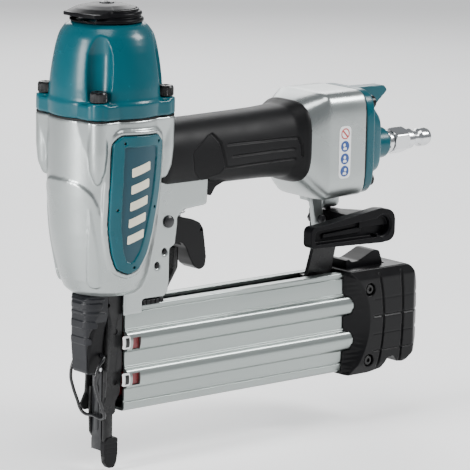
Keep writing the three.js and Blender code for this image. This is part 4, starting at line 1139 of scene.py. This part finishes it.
def pins():
    box = BOX["trigger_pin"]
    x, z = TRIGGER_PIVOT
    dome = [
        (0, box.y0 + 0.2), (2, box.y0 + 0.5, 2), (3.2, box.y0 + 1.1, 0.6), (3.2, -CHEEK_OUTER - 0.1, 0.1),
        (1.95, -CHEEK_OUTER - 0.1)
    ]
    other = [(r, -y, *rest) for r, y, *rest in reversed(dome)]
    piece(
        lathe("y", dome + other, (x, z), 64),
        "trigger_pin_turned", DARK_STEEL, "frame", ["trigger_pin"], 40
    )
    for name, place in zip(("upper", "lower"), GUIDE_PINS):
        half = BOX[f"guide_pin_{name}"].y1
        profile = [
            (0, -half), (0.9, -half + 0.05, 0.4), (1.4, -half + 0.5, 0.3), (1.4, half - 0.5, 0.3),
            (0.9, half - 0.05, 0.4), (0, half)
        ]
        piece(
            lathe("y", profile, place, 40),
            f"guide_pin_{name}_turned", BLACK_STEEL, "frame", [f"guide_pin_{name}"], 40
        )


COIL_STEPS = 16


def helix(centre, radius, low, high, turns):
    count = turns * COIL_STEPS
    points = []
    for k in range(count + 1):
        turn = 2 * math.pi * k / COIL_STEPS
        points.append(
            (
                centre[0] + radius * math.cos(turn), centre[1] + radius * math.sin(turn),
                low + (high - low) * k / count
            )
        )
    return points


def trigger_spring():
    box = BOX["trigger_spring"]
    points = helix((VALVE_X, 0), 3.5, box.z0 + 0.4, box.z1 - 0.4, 4)
    piece(
        tube(points, 0.38, fine=3),
        "trigger_spring_wire", STEEL, "frame", ["trigger_spring"], 60
    )


def adapter():
    box = BOX["magazine_adapter"]
    plate = block(box.x0, box.x1, box.y0, box.y1, box.z1 - 2.2, box.z1, 0.5)
    web = block(box.x0, box.x1, 1.2, 4.4, box.z0, box.z1 - 1.6)
    ribs = [
        block(x, x + 1.1, box.y0 - 0.35, box.y0 + 1, box.z1 - 2.2, box.z1, 0.2)
        for x in (18.5, 21.4, 24.3, 27.2)
    ]
    piece(
        edged(join(plate, web, *ribs), 0.25, 2),
        "magazine_adapter_block", BLACK, "frame", ["magazine_adapter"]
    )


# ---------------------------------------------------------------- contact arm and tip
def contact():
    blade = block(-3.3, 0.8, -7, -5, 5, 90.1, 0.4)
    run = prism("z", [
        (-3.3, -7), (21, -7, 4), (29, -2.6, 4), (34, -2.6), (34, 2.6), (28, 2.6, 4), (19, -5, 4), (-3.3, -5)
    ], 87.2, 90.1)
    riser = prism("y", [
        (32, 87.2), (39, 87.2, 3), (43.3, 93.5, 4), (46.7, 98.8, 4), (46.7, 109.4, 0.8), (44.3, 109.4, 0.8),
        (43.6, 97, 5), (39, 90.1, 3), (32, 90.1)
    ], -2.4, 2.4)
    piece(
        edged(join(blade, run, riser), 0.3, 2),
        "contact_arm_plate", BLACK_STEEL, "contact", ["contact_arm"]
    )
    shape = [
        (-1.6, 17, 1), (4.8, 17, 1.2), (4.8, 9, 12), (4, 4, 3), (2.6, 1.4, 1.6), (-1, 1.4, 1.6), (-3, 4, 3),
        (-3.9, 10, 6), (-3.9, 15, 3)
    ]
    tip = cut(prism("y", shape, -7.8, -4.3), block(-3.4, 0.9, -7.1, -4.9, 4.9, 20))
    rings = [block(-5, 6, -8.4, -7.6, z, z + 0.5) for z in (9, 11.4, 13.8)]
    piece(
        cast(cut(tip, *rings), 0.22, 3),
        "contact_tip_boot", RUBBER, "contact", ["contact_tip"], ALL_SMOOTH
    )


# ---------------------------------------------------------------- nose
DOOR_HINGE = (BOX["door_pin"].x, BOX["door_pin"].z)
LEVER_HINGE = (BOX["lever_pin"].x, BOX["lever_pin"].z)
BAIL_HINGE = (-6.2, 60.3)
GUIDE_HALF = BOX["nose_door"].half


def driver_guide():
    wing_shape = [
        (5.5, 91.6), (5.5, 50, 8), (4.4, 40, 3), (1.5, 35.8, 3), (1.5, 29.5, 1.5), (-5, 29.5, 1),
        (-7.3, 32, 1.2), (-4, 38.5, 3), (-3.6, 45, 8), (-3.6, 91.6)
    ]
    wings = [prism("y", wing_shape, *side_span(s, 7.6, BOX["driver_guide"].half)) for s in SIDES.values()]
    x, z = DOOR_HINGE
    lug = join(rod("y", 1.9, 5, 7.2, DOOR_HINGE, 32), block(x, 1.5, 5, 7.2, z - 1.8, z + 1.8))
    body = join(
        block(-0.8, 5.5, -4.4, 4.4, 29, 91.6), block(2, 5.5, -8, 8, 42, 91.6),
        block(-0.8, 4, -GUIDE_HALF, GUIDE_HALF, TRAVEL, 30),
        prism("y", [
            (-3.4, 42), (-4, 31, 4), (-3.4, 18.5, 2), (-1.8, 15.7, 1), (0, 15.7), (0, 42)
        ], 4.25, 5.6),
        *wings, lug, block(-0.8, 5.5, 4, 8, 80, 91.6)
    )
    made = cut(
        body, block(-2, 0.9, -1, 1, 0, 95), block(0, 7, -0.9, 0.9, 12.4, 63.5),
        rod("y", PIN_BORE, -9.5, 9.5, DOOR_HINGE, 24), block(1, 7, -7.6, -4.5, 84, 93),
        *(rod("y", 1.5, *side_span(s, 8.4, 10), (1.2, h), 32) for s in SIDES.values() for h in (46, 72))
    )
    piece(edged(made, 0.35, 2), "driver_guide_steel", BLACK_STEEL, "frame", ["driver_guide"])


def nose_door():
    plate = prism("x", [
        (-GUIDE_HALF, TRAVEL), (GUIDE_HALF, TRAVEL), (GUIDE_HALF, 15.5), (3.7, 16.2), (3.7, 85), (-3.7, 85),
        (-3.7, 16.2), (-GUIDE_HALF, 15.5)
    ], -3, -1.1)
    ridge = prism("x", [(-1.6, 20, 1.6), (1.6, 20, 1.6), (1.6, 44, 1.6), (-1.6, 44, 1.6)], -3.5, -2.8)
    knuckle = rod("y", 2, -GUIDE_HALF, GUIDE_HALF, DOOR_HINGE, 40)
    x, z = LEVER_HINGE
    ears = block(x - 1.6, -2.5, -3.8, 3.8, z - 1.6, z + 1.6, 0.6)
    made = cut(
        join(plate, ridge, knuckle, ears), rod("y", PIN_BORE, -10, 10, DOOR_HINGE, 24),
        rod("y", PIN_BORE, -10, 10, LEVER_HINGE, 24)
    )
    piece(edged(made, 0.25, 2), "nose_door_plate", DARK_STEEL, "door", ["nose_door"])


LEVER_SIDE = [
    (-3.9, 91.4), (-14, 91.4, 2.5), (-16.6, 88, 4), (-15.7, 82, 6), (-16.1, 75, 8), (-14.6, 58, 8),
    (-14.4, 51.6, 2.6), (-10.4, 50.6, 2), (-6.4, 50.6, 1), (-3.9, 52.4, 1)
]
LEVER_FRONT = [
    (-9.4, 95), (9.4, 95), (9.4, 78, 6), (8, 66, 10), (7, 54, 3), (6, 46), (-6, 46), (-7, 54, 3),
    (-8, 66, 10), (-9.4, 78, 6)
]
LEVER_PLAN = [(0, -9.4), (-16.6, -9.4, 8.4), (-16.6, 9.4, 8.4), (0, 9.4)]


def lever_form(amount):
    side = prism("y", grown(LEVER_SIDE, amount), -12, 12)
    front = prism("x", grown(LEVER_FRONT, amount), -20, -3.9)
    plan = prism("z", grown(LEVER_PLAN, amount), 44, 96)
    return common(side, front, plan)


def jam_lever():
    """A hollow thumb lever whose raised front shield narrows downwards and carries finger ribs."""
    shield_edge = [(-9.8, 95), (-9.8, 84, 3), (-8.8, 79, 5), (-6.7, 72, 9), (-5.9, 64, 12), (-5.7, 50)]
    shield = common(lever_form(0), prism("x", shield_edge + mirrored(shield_edge), -20, -3.9))
    bands = [
        (-7.4, 84.9, 87.7), (-5.5, 82.1, 83.2), (-10.4, 75, 78.6), (-13.1, 66.6, 70.2), (-6.5, 89.1, 90.1)
    ]
    outer = lever_form(0.36)
    ribs = [
        common(
            duplicate(outer),
            prism("y", [(-20, z0, 0.5), (x1, z0, 1.4), (x1, z1, 1.4), (-20, z1, 0.5)], -12, 5.5)
        )
        for x1, z0, z1 in bands
    ]
    bpy.data.objects.remove(outer)
    barrel = knurled(2.1, 0.25, 22, -5.2, 5.2, (0, 0))
    barrel.data.transform(Matrix.Translation((-11.9, 0, 53.6)) @ Matrix.Rotation(math.pi / 2, 4, "X"))
    room = common(
        prism("y", [(-2, 95), (-12.4, 95), (-12.6, 60), (-11, 54), (-9, 49), (-2, 49)], -6.6, 6.6),
        prism("x", [
            (-6.6, 96), (6.6, 96), (6.6, 80), (4.8, 64), (4.4, 46), (-4.4, 46), (-4.8, 64), (-6.6, 80)
        ], -20, 0)
    )
    front = cut(join(shield, *ribs), lever_form(-1))
    body = cut(
        join(lever_form(-0.95), barrel), room, rod("y", PIN_BORE, -12, 12, LEVER_HINGE, 24),
        rod("y", 0.95, -12, 12, BAIL_HINGE, 24)
    )
    piece(
        cast(body, 0.24, 3), "jam_lever_shell", BLACK, "lever", ["jam_lever"], ALL_SMOOTH
    )
    # The shield is painted lighter than the black shell: painted light on the lit front face.
    piece(cast(front, 0.2, 3), "jam_lever_shield", LEVER_PAINTED_LIGHT, "lever", (), ALL_SMOOTH)


def jam_bail():
    reach = 9.95
    x, z = BAIL_HINGE
    half = [
        (-5.2, 8.4, 28.1), (-5.8, reach, 30), (-7.4, reach, 34), (-10.6, reach, 42), (-12, reach, 48),
        (-10.4, reach, 55), (x - 0.7, reach, z - 0.9), (x, reach - 1.1, z), (x, 5.4, z)
    ]
    points = [(a, -b, c) for a, b, c in reversed(half)] + [(-5.2, 0, 28.1)] + half
    piece(
        tube(points, 0.85, sides=8), "jam_bail_wire", SATIN_STEEL, "bail", ["jam_bail"], 60
    )


# ---------------------------------------------------------------- magazine
MAG_FOOT = BOX["magazine_cover"].z0
MAG_TOP = BOX["magazine_cover"].z1
RIDGE_HALF = BOX["magazine_cover"].half
MAG_HALF = RIDGE_HALF - 3
MAG_WALL = 1.5
THROAT = 4.8
RIDGES = (66.4, 47.3)
WINDOWS = ((62, 69), (43.6, 50.6))


def ridge_outline(centre):
    """One bulge of the extrusion's side, from its upper to its lower edge, with a fine bead at each edge."""
    return [
        (MAG_HALF, centre + 6.6), (MAG_HALF + 0.45, centre + 6.4, 0.15),
        (MAG_HALF + 0.45, centre + 5.9, 0.15), (MAG_HALF, centre + 5.7, 0.2),
        (MAG_HALF + 0.5, centre + 5.2, 0.4), (RIDGE_HALF - 0.9, centre + 4.4, 2.2),
        (RIDGE_HALF, centre + 1.2, 5), (RIDGE_HALF, centre - 1.2, 5), (RIDGE_HALF - 0.9, centre - 4.4, 2.2),
        (MAG_HALF + 0.5, centre - 5.2, 0.4), (MAG_HALF, centre - 5.7, 0.2)
    ]


COVER_SIDE = [
    (THROAT, MAG_TOP, 0.3), (MAG_HALF, MAG_TOP, 0.6), (MAG_HALF, 82.1, 0.2), (MAG_HALF - 0.7, 81.8),
    (MAG_HALF - 0.7, 81.2), (MAG_HALF, 80.9, 0.2), *ridge_outline(RIDGES[0]), *ridge_outline(RIDGES[1]),
    (MAG_HALF, 35.9, 0.2), (MAG_HALF - 0.7, 35.6), (MAG_HALF - 0.7, 35), (MAG_HALF, 34.7, 0.2),
    (MAG_HALF, 31.6, 0.6), (MAG_HALF - 1.3, MAG_FOOT, 0.6)
]


def magazine_cover():
    inside = [
        (THROAT, 82.4), (MAG_HALF - MAG_WALL, 82.4), (MAG_HALF - MAG_WALL, 71.4),
        (RIDGE_HALF - MAG_WALL, 69, 1), (RIDGE_HALF - MAG_WALL, 63.4, 1), (MAG_HALF - MAG_WALL, 61),
        (MAG_HALF - MAG_WALL, 52.2), (RIDGE_HALF - MAG_WALL, 50, 1), (RIDGE_HALF - MAG_WALL, 44.4, 1),
        (MAG_HALF - MAG_WALL, 42), (MAG_HALF - MAG_WALL, MAG_FOOT + MAG_WALL)
    ]
    profile = [*COVER_SIDE, *mirrored(COVER_SIDE), *mirrored(inside)[::-1], *inside[::-1]]
    shell = prism("x", profile, BOX["pusher"].x0 - 2.3, BOX["magazine_cover"].x1 + 2, step=math.radians(14))
    noses = []
    for s in SIDES.values():
        for ridge in RIDGES:
            bulge = [
                (s * (MAG_HALF - 0.65), ridge + 5.2),
                *[(s * a, b, *r) for a, b, *r in ridge_outline(ridge)[4:10]],
                (s * (MAG_HALF - 0.65), ridge - 5.2)
            ]
            noses.append(prism("x", bulge, BOX["magazine_cover"].x0, 7, step=math.radians(14)))
    windows = [block(9.6, 14.6, -14, -9, low + 0.3, high - 0.5, 0.9) for low, high in WINDOWS]
    made = edged(cut(join(shell, *noses), *windows), 0.12, 1, 50)
    piece(made, "magazine_cover_extrusion", EXTRUSION, "magazine", ["magazine_cover"], 30)
    for i, ridge in enumerate(RIDGES):
        skin = []
        for lift in (0.1, -0.5):
            bulge = [(-(a + lift), b, *r) for a, b, *r in ridge_outline(ridge)[4:10]]
            skin.append(
                prism("x", [(-8, ridge + 5), *bulge, (-8, ridge - 5)], 2, 8.4, step=math.radians(8))
            )
        shell = cut(*skin)
        # A white patch round the black mark: partly a paler patch on the ridge, partly painted highlight of
        # the ridge's bulge.
        label = common(
            prism("y", [
                (3.4, ridge - 3.3, 0.9), (8, ridge - 3.3, 0.9), (8, ridge + 3.3, 0.9),
                (3.4, ridge + 3.3, 0.9)
            ], -14, -9),
            duplicate(shell)
        )
        piece(label, f"window_label_and_highlight_{i + 1}", WHITE_PRINT_AND_HIGHLIGHT, "magazine", (), 40)
        shell.data.transform(Matrix.Translation((0, -0.14, 0)))
        mark = common(
            prism("y", [
                (4.9, ridge - 2.4, 0.3), (7.2, ridge - 2.4, 0.3), (7.2, ridge + 2.4, 0.3),
                (4.9, ridge + 2.4, 0.3)
            ], -14, -9),
            shell
        )
        piece(mark, f"window_label_and_highlight_{i + 1}_mark", BLACK_INK, "magazine", (), 40)


def magazine_rail():
    box = BOX["magazine_rail"]
    step = 156
    made = join(
        block(box.x0, step, 0.9, box.y1, box.z0, box.z1, 0),
        block(box.x0, step, box.y0, 2, box.z0, box.z0 + 2, 0),
        block(step - 1, box.x1, 0.9, box.y1, box.z0, 74, 0)
    )
    reliefs = [block(24 + i * 27, 42 + i * 27, 3, 9, 39, 46, 0) for i in range(4)]
    lines = [block(40, 132, y, y + 0.6, box.z1 - 0.4, box.z1 + 1) for y in (2.6, 5.6)]
    screw_hole = rod("z", 1.3, 70, 90, (BOX["bracket_screw"].x, BOX["bracket_screw"].y), 24)
    cutters = [block(8, step - 2, 0, 6, 50, 63, 0), screw_hole, *reliefs, *lines]
    piece(
        edged(cut(made, *cutters), 0.25, 2),
        "magazine_rail_steel", BLACK_STEEL, "frame", ["magazine_rail"]
    )


END_CAP_MIDDLE = 57
FUNNEL_ARC = (132.5, END_CAP_MIDDLE, 36)
BOWED_GROOVES = ((178.6, 87), (192.5, 190))
DEEP_GROOVES = (40.2, 59)
FINE_GROOVES = (49.6, 68.6)


def funnel(side, front, half):
    """The slope from the extrusion's flats out to the bowed front edge of the end cap's side."""
    rings = []
    for k in range(25):
        z = 27 + 61 * k / 24
        middle_x, middle_z, radius = FUNNEL_ARC
        edge = middle_x + math.sqrt(radius**2 - (z - middle_z) ** 2)
        corners = [
            (front - 5, MAG_HALF - 3), (front, MAG_HALF + 0.3), (edge, half - 0.1), (edge + 2, half + 4),
            (front - 5, half + 4)
        ]
        rings.append([(x, side * y, z) for x, y in corners])
    return stacked(rings)


END_SCREWS = [(BOX[f"end_cap_screw_{n}"].x, BOX[f"end_cap_screw_{n}"].z) for n in ("upper", "lower")]


def end_cap():
    front = BOX["magazine_end_cap"].x0
    half = BOX["magazine_end_cap"].half
    side = [
        (front, 85.6, 0.6), (198, 85.6, 7), (204.6, 75, 9), (206, 58, 30), (205.2, 44, 8), (201.6, 37, 7),
        (195, 32.2, 5), (190, 32.4, 1.6), (186.6, 36.2, 2), (182.4, 35.8, 2), (178.6, 30.4, 3),
        (170, 28.9, 6), (front, 28.9, 0.6)
    ]
    body = prism("y", side, -half, half, step=FINE_STEP)
    plan = prism("z", [
        (front - 1, -half), (200.5, -half, 3), (207, -half + 4.5, 5), (207, half - 4.5, 5),
        (200.5, half, 3), (front - 1, half)
    ], 20, 95, step=FINE_STEP)
    rise = prism("x", [
        (-half, 34, 5), (-half + 2.2, 28, 2), (half - 2.2, 28, 2), (half, 34, 5), (half, 80.5, 5),
        (half - 1.6, 86, 1.4), (-half + 1.6, 86, 1.4), (-half, 80.5, 5)
    ], front - 1, 210)
    body = common(body, plan, rise)
    cover = [(min(corner[0], RIDGE_HALF), corner[1]) for corner in grown(COVER_SIDE, 0.25)]
    hollow = [
        prism("x", cover + mirrored(cover), front - 1, 162.4),
        block(front - 1, 162.4, -MAG_HALF + 1, MAG_HALF - 1, MAG_FOOT - 0.2, MAG_TOP + GAP),
        block(161, 180, -12.2, 12.2, 30, 84.3), block(179, 199, -12.2, 12.2, 38, 81)
    ]
    latch_slot = block(158.8, 186.8, -7.5, 7.5, 80, 90)
    cutters = [*hollow, latch_slot]
    for s in SIDES.values():
        cutters.append(funnel(s, front, half))
        for middle, bow in BOWED_GROOVES:
            ring = cut(
                rod("y", bow + 0.7, *side_span(s, half - 1.1, 30), (middle - bow, END_CAP_MIDDLE), 512),
                rod("y", bow - 0.7, -40, 40, (middle - bow, END_CAP_MIDDLE), 512)
            )
            cutters.append(common(ring, block(150, 210, -30, 30, 20, 83)))
        cutters += [block(171, 210, *side_span(s, half - 0.75, 30), z, z + 0.9) for z in DEEP_GROOVES]
        cutters += [block(171, 210, *side_span(s, half - 0.45, 30), z, z + 0.6) for z in FINE_GROOVES]
    heights = sorted(DEEP_GROOVES + FINE_GROOVES)
    cutters += [block(203.9, 210, -20, 20, z - 0.3, z + 1.1) for z in heights]
    shell = cut(body, *cutters)
    posts = [rod("y", 3, -14, -6.5, place, 40) for place in END_SCREWS]
    wells = [rod("y", 3.4, -30, -14.6, place, 48) for place in END_SCREWS]
    shanks = [rod("y", 1.4, -20, -5, place, 24) for place in END_SCREWS]
    pivot = (BOX["latch_pin"].x, BOX["latch_pin"].z)
    made = cut(join(shell, *posts), *wells, *shanks, rod("y", 1.6, -15, 15, pivot, 24))
    piece(
        cast(made, 0.34, 3),
        "magazine_end_cap_shell", BLACK, "magazine", ["magazine_end_cap"], ALL_SMOOTH
    )
    for name, place in zip(("upper", "lower"), END_SCREWS):
        box = BOX[f"end_cap_screw_{name}"]
        head = lathe("y", [
            (0, box.y0), (2.2, box.y0, 0.4), (2.7, box.y0 + 0.6, 0.4), (2.7, -14.7), (0, -14.7)
        ], place, 48)
        screw = cut(join(head, rod("y", 1.2, -15, box.y1, place, 24)), rod("y", 1.3, -17, -15.4, place, 6))
        piece(
            edged(screw, 0.08, 1, 40),
            f"end_cap_screw_{name}_head", BLACK_INK, "magazine", [f"end_cap_screw_{name}"], 30
        )


def latch():
    pivot = (BOX["latch_pin"].x, BOX["latch_pin"].z)
    lug = prism("y", [
        (159.4, 83.6), (158.9, 89.6, 0.8), (161.4, 90, 1), (163.6, 88.3, 2.5), (168, 88.6, 5), (174, 91, 6),
        (179.4, 93.3, 3), (183.2, 92.8, 2), (185.6, 86, 1.5), (185.6, 83.6)
    ], -7, 7, step=FINE_STEP)
    stem = join(block(168.4, 176, -4.4, 4.4, 79, 85), rod("y", 3, -4.4, 4.4, pivot, 40))
    pawl = prism("y", [
        (158.8, 74.6, 0.5), (161.6, 74.6, 0.5), (162.4, 77.2, 1), (172, 76.4), (172, 79.6), (159.6, 79.6, 1)
    ], -4.4, 4.4)
    made = cut(join(lug, stem, pawl), rod("y", 1.6, -10, 10, pivot, 24))
    piece(
        cast(made, 0.28, 3),
        "magazine_latch_thumbpiece", SATIN, "latch", ["magazine_latch"], ALL_SMOOTH
    )


# ---------------------------------------------------------------- bracket and belt hook
def bracket():
    screw = (BOX["bracket_screw"].x, BOX["bracket_screw"].y)
    bolt = (BOX["bracket_bolt"].x, BOX["bracket_bolt"].z)
    strap = prism("y", [
        (135.6, 81.2), (152.6, 81.2), (156.4, 97.5, 6), (155.2, 103, 4), (147, 107, 4), (144.8, 110, 3),
        (144.8, 120, 1.5), (138.5, 120, 1.5), (139.5, 110, 4), (140.5, 97.5, 10)
    ], -1.7, 0.8)
    foot = block(136, 152.6, -1.7, 4.5, 81.2, 83.4)
    made = cut(join(strap, foot), rod("z", 1.3, 80, 90, screw, 24), rod("y", 1.6, -5, 5, bolt, 24))
    piece(
        edged(made, 0.3, 2),
        "magazine_bracket_strap", BLACK_STEEL, "frame", ["magazine_bracket"]
    )
    box = BOX["bracket_screw"]
    head = lathe("z", [
        (0, 83.5), (1.7, 83.5, 0.1), (1.7, box.z1 - 0.3, 0.3), (0.9, box.z1, 0.3), (0, box.z1)
    ], screw, 40)
    piece(
        join(head, rod("z", 1.1, box.z0, 84, screw, 24)),
        "bracket_screw_turned", BLACK_STEEL, "frame", ["bracket_screw"]
    )
    head = lathe("y", [(0, -7), (1.9, -7, 0.5), (2.6, -6.4, 0.5), (2.6, -5.6), (0, -5.6)], bolt, 48)
    nut = rod("y", 2.6, 0.9, 2.6, bolt, 6)
    made = join(cut(head, rod("y", 1.2, -8, -6.3, bolt, 6)), rod("y", 1.5, -6.5, 2, bolt, 24), nut)
    piece(
        edged(made, 0.1, 1, 40),
        "bracket_bolt_turned", DARK_STEEL, "frame", ["bracket_bolt"], 30
    )


def belt_hook():
    face_y = BOX["belt_hook"].y0
    pivot = (BOX["hook_screw"].x, 0)
    face = [
        (116.5, 105.4, 8), (160.2, 103.6, 9), (169.6, 104.4, 8.4), (169.6, 120.4, 8.4), (158.4, 122, 9),
        (116.5, 116.8, 8), (110.4, 116.8, 5.4), (110.4, 105.4, 5.4)
    ]
    arm = prism("y", face, face_y, face_y + 6.4, step=FINE_STEP)
    slot = prism("y", [
        (113, 107.4, 2.2), (157, 107, 0.4), (157, 117, 0.4), (113, 114.4, 2.2)
    ], face_y - 1, face_y + 4.8)
    keyhole = rod("y", 5.4, face_y - 1, face_y + 4.8, (160.6, 112.6), 72)
    counter = rod("y", 6.2, face_y - 1, face_y + 0.7, (160.6, 112.6), 72)
    web = prism("z", [
        (146.5, -30), (168.4, -30), (166, -16, 8), (157, -4, 4), (157, 4, 4), (146.5, 4, 4)
    ], 112.4, 117.8, step=FINE_STEP)
    bed = prism("y", [
        (121, 109.6, 1), (148, 109.8, 1), (148, 112.8, 1), (121, 111.6, 1)
    ], face_y + 3.4, face_y + 5)
    made = cut(join(cut(arm, slot, keyhole, counter), bed, web), rod("z", 1.7, 100, 130, pivot, 24))
    piece(
        cast(made, 0.25, 7), "belt_hook_moulding", SATIN, "hook", ["belt_hook"], ALL_SMOOTH
    )
    head = lathe("z", [(0, 109), (2.3, 109, 0.4), (3, 109.7, 0.4), (3, 112.2, 0.2), (0, 112.2)], pivot, 48)
    made = cut(join(head, rod("z", 1.5, 112, 126, pivot, 24)), rod("z", 1.5, 108, 110.6, pivot, 6))
    piece(
        edged(made, 0.1, 1, 40), "hook_screw_turned", BLACK_STEEL, "frame", ["hook_screw"], 30
    )


housing()
side_plates()
cylinder_cap()
gasket()
cap_bolts()
deflector()
grip()
tank_labels()
rear_cap()
rear_screws()
air_plug()
trigger()
pins()
trigger_spring()
adapter()
contact()
driver_guide()
nose_door()
jam_lever()
jam_bail()
magazine_cover()
magazine_rail()
end_cap()
latch()
bracket()
belt_hook()


# ---------------------------------------------------------------- studio
FLOOR_SIZE = 6.0
FLOOR_DROP = 0.0005
LAMP_AIM = (0.07, 0, 0.11)
LAMPS = [
    ("key", (-1.35, 0.05, 0.5), 0.3, 30, 2.8), ("side", (1.0, -0.75, 1.0), 0.5, 24, 1.0),
    ("top", (-0.3, -0.3, 1.5), 0.6, 10, 1.0), ("back", (0.9, 1.2, 0.8), 0.8, 10, 1.0)
]
SKY_COLOUR = (0.93, 0.96, 1, 1)
SKY_STRENGTH = 0.38


def lamp(name, place, size, power, shape_ratio):
    data = bpy.data.lights.new(name, "AREA")
    data.shape = "RECTANGLE"
    data.size = size
    data.size_y = size * shape_ratio
    data.energy = power
    made = bpy.data.objects.new(name, data)
    bpy.context.scene.collection.objects.link(made)
    made.location = place
    made.rotation_mode = "QUATERNION"
    made.rotation_quaternion = (Vector(LAMP_AIM) - Vector(place)).to_track_quat("-Z", "Y")


def studio():
    floor_mesh = bpy.data.meshes.new("floor")
    half = FLOOR_SIZE / 2
    low = CAD_BOX[0].z - FLOOR_DROP
    floor_mesh.from_pydata([
        (-half, -half, low), (half, -half, low), (half, half, low), (-half, half, low)
    ], [], [(0, 1, 2, 3)])
    floor = link(floor_mesh, "floor")
    floor.data.materials.append(FLOOR)
    for row in LAMPS:
        lamp(*row)
    world = bpy.data.worlds.new("studio")
    world.use_nodes = True
    sky = world.node_tree.nodes["Background"]
    sky.inputs["Color"].default_value = SKY_COLOUR
    sky.inputs["Strength"].default_value = SKY_STRENGTH
    bpy.context.scene.world = world


studio()
